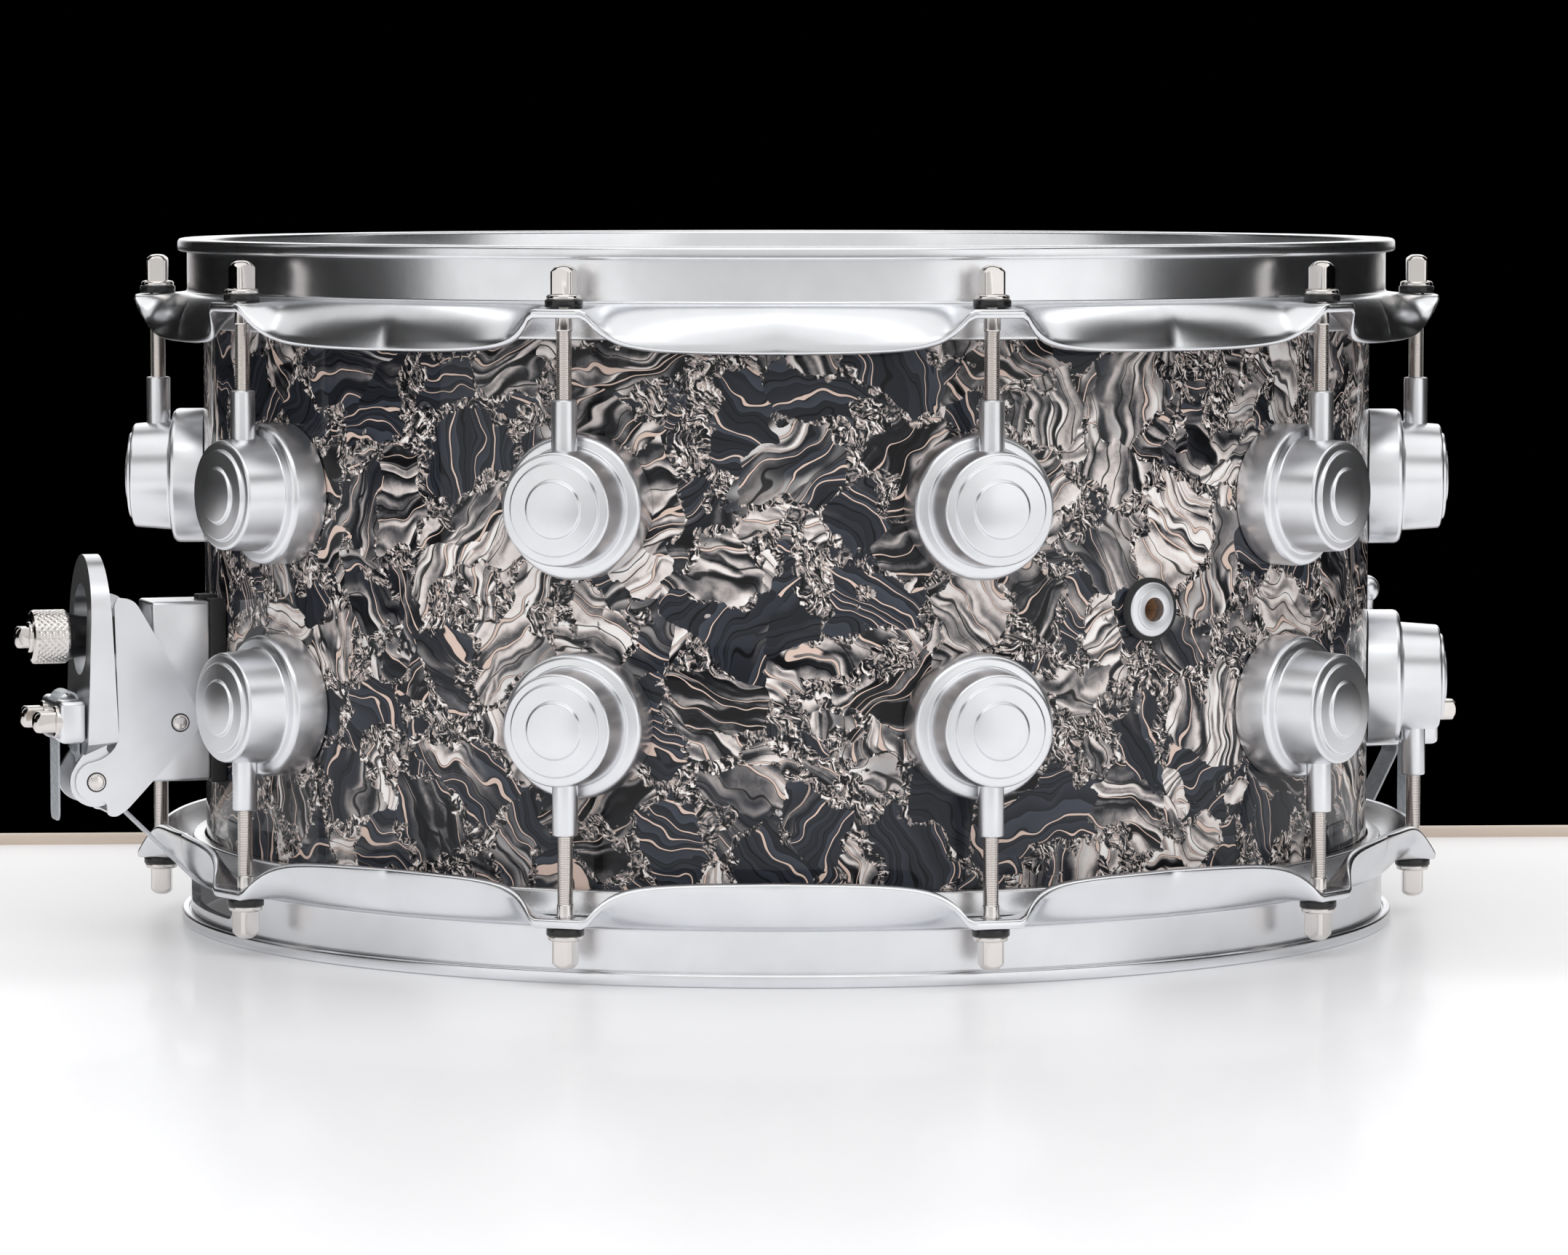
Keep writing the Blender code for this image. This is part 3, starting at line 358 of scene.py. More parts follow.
def strap_plastic():
    """Clear plastic strap with a faint scuffing."""
    made = Finish("strap_plastic", (0.62, 0.65, 0.68), 0.2, Specular_IOR_Level=0.6)
    scuff = made.noise(made.place(), 220.0, 5.0, 0.7)
    made.set("Alpha", 0.62 + 0.2 * scuff)
    made.set("Roughness", 0.14 + 0.25 * scuff)
    return made.bump(scuff, 0.1, 0.15)


def maple():
    """Bare plies on the inside of the shell, with the grain running round it."""
    made = Finish("maple_plies", shades("maple"), 0.55)
    along = made.node("Mapping", Vector=made.place(), Scale=(1.0, 1.0, 14.0))
    grain = made.noise(along, 22.0, 6.0, 0.65)
    pores = made.noise(along, 160.0, 3.0, 0.7)
    tone = made.mix(made.step(grain, 0.3, 0.7), rgba("maple", 0.72), rgba("maple", 1.15))
    made.set("Base Color", made.mix(made.step(pores, 0.58, 0.72) * 0.4, tone, rgba("maple", 0.45)))
    made.set("Roughness", 0.45 + 0.25 * grain)
    return made.bump(grain + pores * 0.5, 0.25, 0.2)


def wrap():
    """Dark pearl wrap: flowing sheets, charcoal or silky, ringed by fine lines, with crushed bits along
    their seams; the silky sheets and the crushed bits carry painted shade and painted highlights."""
    made = Finish("pearl_wrap", shades("charcoal"), 0.35, Coat_Weight=0.8, Coat_Roughness=0.03,
                  Coat_IOR=1.32, Specular_IOR_Level=0.1)

    def drifted(where, scale, amount, detail=2.0):
        """Places pushed about by noise, by up to half the amount in metres."""
        drift = made.noise(where, scale, detail, output=1)
        push = made.maths("MULTIPLY_ADD", drift, (amount,) * 3, (-amount / 2,) * 3, kind="VectorMath")
        return made.maths("ADD", where, push, kind="VectorMath")

    def creased(where, scale, detail, twist):
        """Noise folded at its middle, so that it has sharp valleys."""
        return made.maths("ABSOLUTE", made.noise(where, scale, detail, 0.5, twist) * 2.0 - 1.0)

    def beside(where, *offset):
        return made.maths("ADD", where, offset, kind="VectorMath")

    place = made.place()
    ragged = drifted(drifted(place, 30.0, 0.050, 3.0), 130.0, 0.008, 4.0)
    sheet, seam = (made.node("TexVoronoi", {"feature": feature}, output, Vector=ragged, Scale=44.0)
                   for feature, output in (("F1", 1), ("DISTANCE_TO_EDGE", 0)))
    part = [made.node("SeparateColor", output=k, Color=sheet) for k in range(3)]

    # each sheet has its own direction on the shell's surface
    bent = drifted(place, 42.0, 0.026)
    x, y, height = (made.node("SeparateXYZ", output=k, Vector=bent) for k in range(3))
    girth = made.maths("ARCTAN2", x, y * -1.0) * (SHELL_R * MM)
    angle = part[0] * 6.28
    cosine, sine = made.maths("COSINE", angle), made.maths("SINE", angle)
    across = girth * cosine + height * sine
    grain = made.node("CombineXYZ", X=across, Y=(height * cosine - girth * sine) * 0.28, Z=part[1])
    wobble = made.noise(grain, 78.0, 2.0)
    grit = made.noise(drifted(place, 260.0, 0.005), 420.0, 4.0, 0.6)

    # black and pale lines, like a map's contours; each band between two steps has its own number
    rings = across * 270.0 + wobble * 5.2 + part[1] * 7.0
    band = made.maths("FLOOR", rings) + part[2] * 31.0
    pick = made.node("TexWhiteNoise", {"noise_dimensions": "1D"}, W=band)
    along_band = made.maths("FRACT", rings)
    off_line = made.maths("ABSOLUTE", along_band - 0.5)
    black_line = made.step(off_line, 0.085, 0.035) * made.step(pick, 0.52, 0.50)
    width = 0.025 + pick * pick * 0.065
    pale_line = made.step(off_line - width, 0.012, -0.012) * made.step(pick, 0.56, 0.58)
    rim_line = made.step(off_line - width, 0.08, 0.04) * made.step(pick, 0.56, 0.58)

    # charcoal sheets and silky ones; the silky ones get painted shade and painted highlights from a crumpled
    # height lit from above
    fold, lit = (creased(where, 80.0, 2.0, 0.3) for where in (grain, beside(grain, 0.0008, 0.0002, 0.0)))
    slope = (lit - fold) * 5.2 + 0.46 + (part[2] - 0.5) * 0.6
    # the folds' painted shade and painted highlight: black on their shaded side to near white on their lit
    # side
    painted_fold_light = made.ramp(slope + (grit - 0.5) * 0.34,
                     (0.0, (0.003, 0.003, 0.004)), (0.25, (0.018, 0.019, 0.022)),
                     (0.42, (0.13, 0.124, 0.128)), (0.58, (0.38, 0.345, 0.335)),
                     (0.76, (0.80, 0.72, 0.685)), (1.0, (0.96, 0.93, 0.91)))
    field = made.mix(along_band * pick, rgba("charcoal"), rgba("charcoal", 4.4))
    painted_sheen_share = made.step(part[1] + (wobble - 0.5) * 1.1, 0.30, 0.62)
    body = made.mix(painted_sheen_share, field, painted_fold_light)
    body = made.mix(black_line * 0.92, body, (0.002, 0.002, 0.003, 1.0))
    body = made.mix(rim_line * 0.75, body, (0.004, 0.004, 0.005, 1.0))
    body = made.mix(pale_line, body, rgba("rose", 1.35))

    # crushed bits: random flecks, with painted shade and painted highlights from a finer crumpled height lit
    # from above
    curled = drifted(drifted(place, 70.0, 0.012), 240.0, 0.004)
    chip, chip_lit = (creased(where, 260.0, 3.0, 0.6)
                      for where in (curled, beside(curled, 0.0003, 0.0001, 0.0002)))
    bits = made.node("TexVoronoi", {"feature": "F1"}, 1, Vector=drifted(place, 330.0, 0.006), Scale=560.0)
    bit = made.node("SeparateColor", Color=bits)
    # each bit's random tone, plus the painted shade and painted highlight of the crumple
    crushed_and_painted_light = made.ramp((chip_lit - chip) * 4.6 + 0.24 + bit * 0.46,
                        (0.0, (0.003, 0.003, 0.004)), (0.36, (0.022, 0.023, 0.027)),
                        (0.52, (0.16, 0.148, 0.148)), (0.70, (0.48, 0.415, 0.39)),
                        (0.84, shades("rose")), (1.0, (0.95, 0.92, 0.90)))
    patchy = made.noise(ragged, 38.0, 3.0, 0.6)
    broken = made.step(seam * 1.5 - patchy + (grit - 0.5) * 0.22, -0.41, -0.45)
    made.set("Base Color", made.mix(broken, body, crushed_and_painted_light))
    made.set("Roughness", 0.32 + 0.2 * grit)
    return made.bump(slope, 0.12, 0.5)


FINISHES = {
    "chrome": lambda: plated("satin_chrome", "chrome", 0.25, 0.08),
    "cast_chrome": lambda: plated("cast_satin", "chrome", 0.30, 0.08),
    "satin_face": lambda: plated("satin_face", "chrome", 0.42, 0.06),
    "nickel": lambda: plated("nickel_plate", "nickel", 0.14, 0.10),
    "aluminium": lambda: plated("drawn_aluminium", "aluminium", 0.28, 0.12),
    "rubber": lambda: black("black_rubber", 0.5, 0.42, 0.2, 1500.0, 3.0, 0.2),
    "nylon": lambda: black("black_nylon", 0.32, 0.14, 0.10, 900.0, 2.0, 0.04),
    "coated_film": coated_film,
    "clear_film": clear_film,
    "strap": strap_plastic,
    "maple": maple,
    "wrap": wrap,
}


# ---- modelling helpers, in millimetres --------------------------------------------------------------
WELD = 0.0005                        # vertices nearer than this are one
SHARP_EDGE = math.radians(40.0)      # edges that bend further are rounded
HEAD_FACETS = 256


def bevelled(bm, geom, width, segments, affect="EDGES", clamp_overlap=False):
    """Rounds some of a shape's edges or corners."""
    bmesh.ops.bevel(bm, geom=geom, offset=width, offset_type="OFFSET", segments=segments, profile=0.5,
                    affect=affect, clamp_overlap=clamp_overlap, material=-1)
    return bm


def welded(bm, gap=WELD):
    """Makes one vertex of those that lie together, and turns every face outward."""
    bmesh.ops.remove_doubles(bm, verts=bm.verts, dist=gap)
    bmesh.ops.recalc_face_normals(bm, faces=bm.faces)
    return bm


def capped(bm, sides=0):
    """Closes the openings of a shape, or only those with up to so many sides."""
    bmesh.ops.holes_fill(bm, edges=[edge for edge in bm.edges if edge.is_boundary], sides=sides)
    bmesh.ops.recalc_face_normals(bm, faces=bm.faces)
    return bm


def line(bm, corners, closed=False, steps=4, upright=True):
    """A line of (x, z) corners, or (x, y) where it isn't upright; a third number rounds a corner."""
    verts = [bm.verts.new((c[0], 0.0, c[1]) if upright else (c[0], c[1], 0.0)) for c in corners]
    for pair in zip(verts, verts[1:] + verts[:1] if closed else verts[1:]):
        bm.edges.new(pair)
    for vert, corner in zip(verts, corners):
        if len(corner) == 3:
            bevelled(bm, [vert], corner[2], steps, "VERTICES")
    return bm


def swept(bm, steps, angle=math.tau, rise=0.0, merge=False):
    """Turns lines about the drum's axis, with a rise at each step for a helix."""
    bmesh.ops.spin(bm, geom=bm.verts[:] + bm.edges[:], cent=(0, 0, 0), axis=(0, 0, 1), dvec=(0, 0, rise),
                   angle=angle, steps=steps, use_merge=merge)
    return bm


def swept_in_sectors(bm, facets, sectors):
    """Turns a line about the drum's axis one sector at a time, which is quicker for a fine mesh."""
    angle = math.tau / sectors
    swept(bm, facets // sectors, angle)
    joined(bm, *[rotated(bm.copy(), math.degrees(angle * k), "Z") for k in range(1, sectors)])
    return welded(bm)


def turned(corners, facets, closed=False, steps=4):
    """A turned shape from (radius, height) corners."""
    return welded(swept(line(bmesh.new(), corners, closed, steps), facets, merge=True))


def bar(radius, low, high, facets, *edge, steps=4):
    """A round bar along the axis, whose rims may be rounded."""
    return turned([(0, low), (radius, low, *edge), (radius, high, *edge), (0, high)], facets, steps=steps)


def thickened(bm, low, high):
    """Fills an outline at a low place and stretches it to a high one."""
    bmesh.ops.contextual_create(bm, geom=bm.edges[:])
    made = bmesh.ops.extrude_face_region(bm, geom=bm.faces[:], use_keep_orig=True)
    top = [item for item in made["geom"] if isinstance(item, bmesh.types.BMVert)]
    bmesh.ops.translate(bm, verts=bm.verts, vec=low)
    bmesh.ops.translate(bm, verts=top, vec=[b - a for a, b in zip(low, high)])
    bmesh.ops.recalc_face_normals(bm, faces=bm.faces)
    return bm


def plate(corners, low, high, edge=0.0):
    """A plate in the XZ plane from its outline, between two Y positions, with rounded edges."""
    bm = thickened(line(bmesh.new(), corners, True), (0, low, 0), (0, high, 0))
    return soften(bm, edge) if edge else bm


def soften(bm, width, segments=2):
    """Rounds every edge that isn't nearly flat."""
    sharp = [e for e in bm.edges if len(e.link_faces) == 2 and e.calc_face_angle() > SHARP_EDGE]
    return bevelled(bm, sharp, width, segments, clamp_overlap=True)


def block(low, high, edge=0.0, segments=2):
    """A box between two corners, with rounded edges."""
    bm = bmesh.new()
    bmesh.ops.create_cube(bm, size=1.0)
    bmesh.ops.scale(bm, vec=[b - a for a, b in zip(low, high)], verts=bm.verts)
    moved(bm, *[(a + b) / 2 for a, b in zip(low, high)])
    return soften(bm, edge, segments) if edge else bm


def moved(bm, *vec):
    bmesh.ops.translate(bm, vec=vec, verts=bm.verts)
    return bm


def rotated(bm, degrees, axis):
    bmesh.ops.rotate(bm, cent=(0, 0, 0), matrix=Matrix.Rotation(math.radians(degrees), 3, axis),
                     verts=bm.verts)
    return bm


def facing_out(bm):
    """Lays a shape that was turned about Z so that its top points away from the drum, along -Y."""
    return rotated(bm, 90.0, "X")


def sideways(bm):
    """Lays a shape that was turned about Z so that its top points along +X."""
    return rotated(bm, 90.0, "Y")


def flipped(bm):
    """Turns a shape of the batter side over for the snare side, about the middle plane."""
    bmesh.ops.scale(bm, vec=(1, 1, -1), verts=bm.verts)
    bmesh.ops.reverse_faces(bm, faces=bm.faces)
    return bm


def on_side(bm, side):
    """Puts a shape made about the middle plane in its place, turned over for the snare side."""
    return moved(bm if side > 0 else flipped(bm), 0, 0, MIDDLE)


def joined(*parts):
    """One bmesh from several."""
    whole = parts[0]
    for part in parts[1:]:
        mesh = bpy.data.meshes.new("part")
        part.to_mesh(mesh)
        part.free()
        whole.from_mesh(mesh)
        bpy.data.meshes.remove(mesh)
    return whole


def combined(bm, tool, operation="DIFFERENCE"):
    """Cuts one closed shape with another, or unites them."""
    pair = []
    for label, shape in (("stock", bm), ("tool", tool)):
        mesh = bpy.data.meshes.new(label)
        shape.to_mesh(mesh)
        shape.free()
        holder = bpy.data.objects.new(label, mesh)
        bpy.context.scene.collection.objects.link(holder)
        pair.append(holder)
    stock, cutter = pair
    change = stock.modifiers.new("cut", "BOOLEAN")
    change.operation = operation
    change.solver = "EXACT"
    change.object = cutter
    bpy.context.view_layer.update()
    result = bmesh.new()
    result.from_object(stock, bpy.context.evaluated_depsgraph_get())
    for holder in pair:
        mesh = holder.data
        bpy.data.objects.remove(holder)
        bpy.data.meshes.remove(mesh)
    return result


def paint(bm, index):
    for face in bm.faces:
        face.material_index = index
    return bm


def piece(name, bm, finishes, body, nodes=(), sharp=32.0, width=0.0):
    """Writes a shape as an object in metres that rides on a body and stands for solid nodes."""
    bmesh.ops.remove_doubles(bm, verts=bm.verts, dist=WELD)
    bmesh.ops.scale(bm, vec=(MM, MM, MM), verts=bm.verts)
    mesh = bpy.data.meshes.new(name)
    bm.to_mesh(mesh)
    bm.free()
    mesh.shade_smooth()
    mesh.set_sharp_from_angle(angle=math.radians(sharp))
    made = bpy.data.objects.new(name, mesh)
    bpy.context.scene.collection.objects.link(made)
    for label in finishes:
        mesh.materials.append(finish_of(label))
    if width:
        rounding = made.modifiers.new("rounding", "BEVEL")
        rounding.width = width * MM
        rounding.segments = 3
        rounding.limit_method = "ANGLE"
        rounding.angle_limit = math.radians(sharp)
        rounding.harden_normals = True
    if body:
        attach(made, body)
    if nodes:
        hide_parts(*nodes)
    return made


def shell_line(across, clear):
    """Distance of the shell's skin from the axis plane at a distance across a fitting."""
    return math.sqrt((SHELL_R + clear) ** 2 - across ** 2)


def pressed_on(bm, back, clear, shift=0.0):
    """Bends the flat back of a shape to follow the shell's skin."""
    for vert in bm.verts:
        if abs(vert.co.y + back) < 0.01:
            vert.co.y = shift - shell_line(vert.co.x, clear)
    return bm


# ---- shell and air vent -----------------------------------------------------------------------------
VENT_AZ = azimuth_of(sum(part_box("vent_grommet"), Vector()))


def at_vent(bm):
    """Puts a shape that was turned about Z in the air vent's place."""
    return moved(rotated(facing_out(bm), VENT_AZ, "Z"), 0, 0, MIDDLE)


def make_shell(sizes):
    """Bare plies with a bearing edge at each end, wrapped on the outside."""
    outside, inside = SHELL_R, SHELL_R - sizes.wall
    peak, half = outside - sizes.edge_in, SHELL_HALF
    corners = [(outside, -half + 1.6, 0.8), (peak, -half, 0.5), (inside, -half + 5.0, 0.6),
               (inside, half - 5.0, 0.6), (peak, half, 0.5), (outside, half - 1.6, 0.8)]
    bm = moved(turned(corners, sizes.facets, True, 3), 0, 0, MIDDLE)
    bm = combined(bm, at_vent(bar(sizes.vent_bore, inside - 5.0, outside + 5.0, 40)))
    for face in bm.faces:
        middle = face.calc_center_median()
        on_skin = math.hypot(middle.x, middle.y) > outside - 0.4 and abs(face.normal.z) < 0.5
        across = Vector((middle.x, middle.y)).normalized().dot(Vector(face.normal[:2]))
        face.material_index = 0 if on_skin and across > 0.5 else 1
    piece("shell_wrapped", bm, ["wrap", "maple"], "drum", ["shell"], sharp=40.0)


def make_vent(sizes):
    """Metal face with a raised step, a rubber ring behind it, and the nut inside."""
    skin, bore = SHELL_R, sizes.vent_bore
    proud, tube = skin + sizes.vent_proud, 4.7
    face, seal = sizes.vent_face, sizes.vent_seal
    metal = [(bore, proud - 0.1, 0.4), (bore + 2.4, proud, 0.3), (bore + 2.45, proud - 0.6, 0.1),
             (face, proud - 0.8, 0.7), (face, skin + 0.8), (tube, skin + 0.8), (tube, skin - 11.0),
             (bore, skin - 11.0)]
    ribs = [spot for level in (skin + 0.15 + k * 0.55 for k in range(4))
            for spot in ((seal - 0.25, level), (seal, level + 0.27))]
    ring = [(face - 1.0, skin - 0.6), (seal - 0.25, skin - 0.6)] + ribs + [(face - 1.0, skin + 2.3)]
    nut = [(tube, skin - 10.2), (7.0, skin - 10.2, 0.3), (7.0, skin - 8.1, 0.3), (tube, skin - 8.1)]
    body = joined(turned(metal, 64, True), paint(turned(ring, 64, True), 1), turned(nut, 6, True, 2))
    piece("vent_ring_and_nut", at_vent(body), ["satin_face", "rubber"], "drum", ["vent_grommet"])


# ---- heads and flesh hoops --------------------------------------------------------------------------
def make_head(label, side, sizes):
    """A film with its collar, which runs down over the shell's edge into the flesh hoop."""
    film = sizes.film
    under, rim = HEAD_H - film, SHELL_R + 0.75
    corners = [(0, HEAD_H), (SHELL_R - 2.2, HEAD_H, 1.6), (rim, HEAD_H - 2.6, 1.2), (rim, FLESH_HIGH + 0.3),
               (rim - film, FLESH_HIGH + 0.3), (rim - film, HEAD_H - 2.5, 0.9),
               (SHELL_R - 2.4, under, 1.3), (0, under)]
    body = on_side(turned(corners, HEAD_FACETS), side)
    film_name = "coated_film" if side > 0 else "clear_film"
    piece(label + "_film", body, [film_name], "drum", [label + "_head"])


def make_flesh_hoop(label, side, sizes):
    """The metal hoop that holds a head's edge."""
    inner = FLESH_R - sizes.hoop_width
    low, high = FLESH_LOW, FLESH_HIGH
    corners = [(inner, high, 0.4), (FLESH_R, high, 1.2), (FLESH_R, low, 0.9), (inner, low, 0.4)]
    body = on_side(turned(corners, HEAD_FACETS, True), side)
    piece(label + "_flesh_ring", body, ["aluminium"], "drum", [label + "_flesh_hoop"])


# ---- triple-flanged hoops ---------------------------------------------------------------------------
EAR_HALF = 2.2            # degrees: half of an ear's flat top
EAR_FALL = 1.6            # degrees past it where half of the ear is left
SHOULDER_R = 2.0          # shoulder's start outside the wall
SHOULDER_DROP = 16.4      # and below the rim's top


def ear_share(azimuth):
    """How far the skirt is drawn out into an ear, from 1 at an ear to 0 half way between two."""
    def left(off):
        return 1.0 / (1.0 + (max(off - EAR_HALF, 0.0) / EAR_FALL) ** 1.5)
    off = min(abs((azimuth - ear + 180.0) % 360.0 - 180.0) for ear in AZIMUTHS)
    least = left(180.0 / len(AZIMUTHS))
    return (left(off) - least) / (1.0 - least)


def skirt_point(sizes, share, along, depth):
    """(radius, height) on the skirt: along runs from shoulder to edge, depth goes in from its skin."""
    start = Vector((sizes.wall_out + SHOULDER_R, RIM_H - SHOULDER_DROP))
    share = max(share, 0.0)
    drawn = Vector((share ** 0.48, share))
    edge = Vector((sizes.skirt_out - SHOULDER_R, -sizes.skirt_drop))
    bend = Vector((4.2, -3.6))
    edge += (Vector((sizes.ear_reach - SHOULDER_R, -0.8)) - edge) * drawn
    bend += (Vector((5.0, -0.75)) - bend) * drawn
    t = min(along, 1.0)
    spot = start + bend * 2 * t * (1 - t) + edge * t * t
    slope = (bend * (1 - t) + (edge - bend) * t).normalized()
    inward = Vector((slope.y, -slope.x))
    return spot + inward * depth + slope * max(along - 1.0, 0.0) * sizes.steel


def make_hoop(label, side, sizes, gates=()):
    """A rim and lip turned as one line, whose skirt is then drawn out to ten ears."""
    wall, steel = sizes.wall_out, sizes.steel
    inside = wall - steel
    lip, low_lip = wall + sizes.lip_out, RIM_H - sizes.lip_tall
    rim = [(inside, RIM_H, 1.1), (lip, RIM_H, 1.2), (lip, low_lip, 0.8), (wall + 0.5, low_lip - 0.1, 0.3),
           (wall + 0.45, low_lip + 0.7), (wall, low_lip + 0.7), (wall, RIM_H - SHOULDER_DROP + 0.5, 0.8)]
    down = (0.12, 0.25, 0.38, 0.5, 0.62, 0.75, 0.88, 1.0)
    skirt = [(t, 0.0) for t in (0.001, *down)]
    skirt += [(1.0 + 0.26 * math.sin(a), steel * (1 - math.cos(a)) / 2)
              for a in (math.pi * k / 6 for k in range(1, 6))]
    skirt += [(t, steel) for t in reversed(down)]
    under = [(wall + 0.2, FLESH_HIGH + 0.35, 0.5), (inside, FLESH_HIGH + 0.35, 1.0)]
    bm = bmesh.new()
    along, depth = (bm.verts.layers.float.new(label) for label in ("along", "depth"))
    corners = rim + [tuple(skirt_point(sizes, 0.0, *spot)) for spot in skirt] + under
    line(bm, corners, True)
    bm.verts.ensure_lookup_table()
    for vert in bm.verts:
        for spot in skirt:
            if (vert.co.xz - skirt_point(sizes, 0.0, *spot)).length < 0.0001:
                vert[along], vert[depth] = spot
    swept_in_sectors(bm, sizes.steps, len(AZIMUTHS))
    shares = {}
    for vert in bm.verts:
        if vert[along]:
            turn = round(azimuth_of(vert.co), 3)
            if turn not in shares:
                shares[turn] = ear_share(turn)
            radius, height = skirt_point(sizes, shares[turn], vert[along], vert[depth])
            vert.co = Vector((vert.co.x, vert.co.y, 0)).normalized() * radius + Vector((0, 0, height))
    low, high = RIM_H - 26.0, RIM_H - 12.0      # ends of a drill, clear of an ear's top and underside
    holes = [rotated(moved(bar(sizes.ear_hole, low, high, 32), 0, -ROD_AXIS_R, 0), azimuth, "Z")
             for azimuth in AZIMUTHS]
    body = combined(bm, joined(*holes))
    if side < 0:
        flipped(body)
    if gates:
        body = combined(body, joined(*[rotated(gate_opening(sizes), azimuth, "Z") for azimuth in gates]))
    moved(body, 0, 0, MIDDLE)
    piece(label + "_rim", body, ["chrome"], "drum", [label + "_hoop"], sharp=38.0)


def gate_opening(sizes):
    """What is cut out of the lower rim for the strap, up to the skirt's shoulder."""
    reach_out = (sizes.wall_out + sizes.lip_out) * math.sin(math.radians(8.8))
    high = SHOULDER_DROP - RIM_H - 0.6
    low = sizes.lip_tall - RIM_H + 3.0
    corners = [(-reach_out, low, 3.0), (reach_out, low, 3.0), (reach_out, high, 1.5),
               (-reach_out, high, 1.5)]
    return plate(corners, -sizes.wall_out - 8.0, -sizes.wall_out + 12.0)


# ---- lugs -------------------------------------------------------------------------------------------
BASE_FRONT = ROD_AXIS_R - 4.7
CAP_FRONT = ROD_AXIS_R + 7.5
GASKET = 0.45


def lug_shape(sizes):
    """One lug of the batter side at azimuth 0, with its gasket as the second finish."""
    back, end, bore = SHELL_R - 2.0, sizes.sleeve_end, 2.55      # the back is flat until it is pressed on
    raised, disc = CAP_FRONT + 1.15, CAP_FRONT + 2.1
    profile = [(0, back), (sizes.base, back), (sizes.base, BASE_FRONT, 1.9),
               (sizes.barrel + 0.2, BASE_FRONT, 0.7), (sizes.cap, CAP_FRONT, 0.9),
               (sizes.step + 0.25, CAP_FRONT, 0.25), (sizes.step, raised, 0.45),
               (sizes.boss + 0.3, raised, 0.3), (sizes.boss, disc, 0.45), (0, disc + 0.2)]
    sleeve = turned([(0, 0), (sizes.sleeve, 0), (sizes.sleeve, end, 0.5), (bore, end, 0.25),
                     (bore, end - 9.0), (0, end - 9.0)], 40, steps=3)
    body = combined(facing_out(turned(profile, sizes.facets, steps=3)),
                    moved(sleeve, 0, -ROD_AXIS_R, 0), "UNION")
    pressed_on(body, back, GASKET)
    edge = sizes.base - 0.25
    gasket = facing_out(turned([(0, back), (edge, back), (edge, back + 4.0, 0.4), (0, back + 4.0)],
                               sizes.facets, steps=2))
    for vert in gasket.verts:
        vert.co.y = -shell_line(vert.co.x, 0.05 if vert.co.y > -back - 2.0 else GASKET + 0.1)
    return joined(body, paint(gasket, 1))


def ring_of(shape, spot, name, node, finishes, body):
    """Sets copies of a shape round both sides; each rides on the body, or else on its own solid's."""
    for label, side in SIDES:
        for number, azimuth in enumerate(AZIMUTHS, start=1):
            solid = f"{label}_{node}_{number:02d}"
            bm = on_side(moved(shape.copy(), *spot), side)
            piece(f"{label}_{name}_{number:02d}", rotated(bm, azimuth, "Z"), finishes, body or solid,
                  [solid])
    shape.free()


def make_lugs(sizes):
    ring_of(lug_shape(sizes), (0, 0, LUG_H), "turret", "lug", ["cast_chrome", "rubber"], "drum")


# ---- tension rods -----------------------------------------------------------------------------------
KEY_TOP = 11.8            # top of a rod's key head over its washer's underside
SEAT_H = max(v.co.z for v in frame["nodes"]["batter_rod_01"].data.vertices) / MM - MIDDLE - KEY_TOP
ROD_END = SEAT_H + MIDDLE - levels("batter_rod_01")[0]


def key_head(across, foot, top, dome):
    """A square head with rounded corners and a domed end, turned down from square bar."""
    half = across / 2
    corners = [(half, half, 1.0), (half, -half, 1.0), (-half, -half, 1.0), (-half, half, 1.0)]
    bm = thickened(line(bmesh.new(), corners, True, 3, upright=False), (0, 0, foot), (0, 0, top))
    cone = turned([(0, foot - 1), (half * 1.5, foot - 1), (half * 1.5, top - dome * 1.5, 1.2),
                   (half * 0.66, top - 0.1, 1.0), (0, top)], 40)
    return combined(bm, cone, "INTERSECT")


def thread(radius, pitch, low, high):
    """A thread's ridge: one turn of a triangle swept along its helix, repeated, with closed ends."""
    inner, steps = radius - 0.6 * pitch, 14
    turn = line(bmesh.new(), [(inner, low), (radius, low + pitch / 2), (inner, low + 0.94 * pitch)], True)
    swept(turn, steps, rise=pitch / steps)
    count = round((high - low) / pitch) - 1
    bm = joined(*[moved(turn.copy(), 0, 0, pitch * number) for number in range(count)])
    turn.free()
    return capped(welded(bm, 0.01), 3)


def rod_shape(sizes):
    """A tension rod on its own axis: its washer's underside at height 0, the thread below."""
    core, shaft, inner = sizes.shaft - 0.45 * sizes.pitch, sizes.shaft + 0.1, sizes.washer - 0.6
    collar, bore = -6.4, sizes.shaft + 0.3
    steel = turned([(0, -ROD_END), (core - 0.6, -ROD_END), (core, 0.8 - ROD_END), (core, collar - 0.3),
                    (shaft, collar, 0.2), (shaft, 0), (inner, 0.3), (inner, 2.3),
                    (sizes.flange, 2.3, 0.25), (sizes.flange, 3.5, 0.55), (3.4, 3.85, 0.3), (0, 3.9)],
                   40, steps=3)
    washer = turned([(bore, 0), (sizes.washer, 0, 0.35), (sizes.washer, 2.25, 0.45), (bore, 2.25)],
                    40, True, steps=3)
    return joined(steel, paint(washer, 1), key_head(sizes.key, 3.2, KEY_TOP, 1.8),
                  thread(sizes.shaft, sizes.pitch, 2.0 - ROD_END, collar - 0.2))


def make_rods(sizes):
    ring_of(rod_shape(sizes), (0, -ROD_AXIS_R, SEAT_H), "tension_rod", "rod", ["nickel", "nylon"], None)


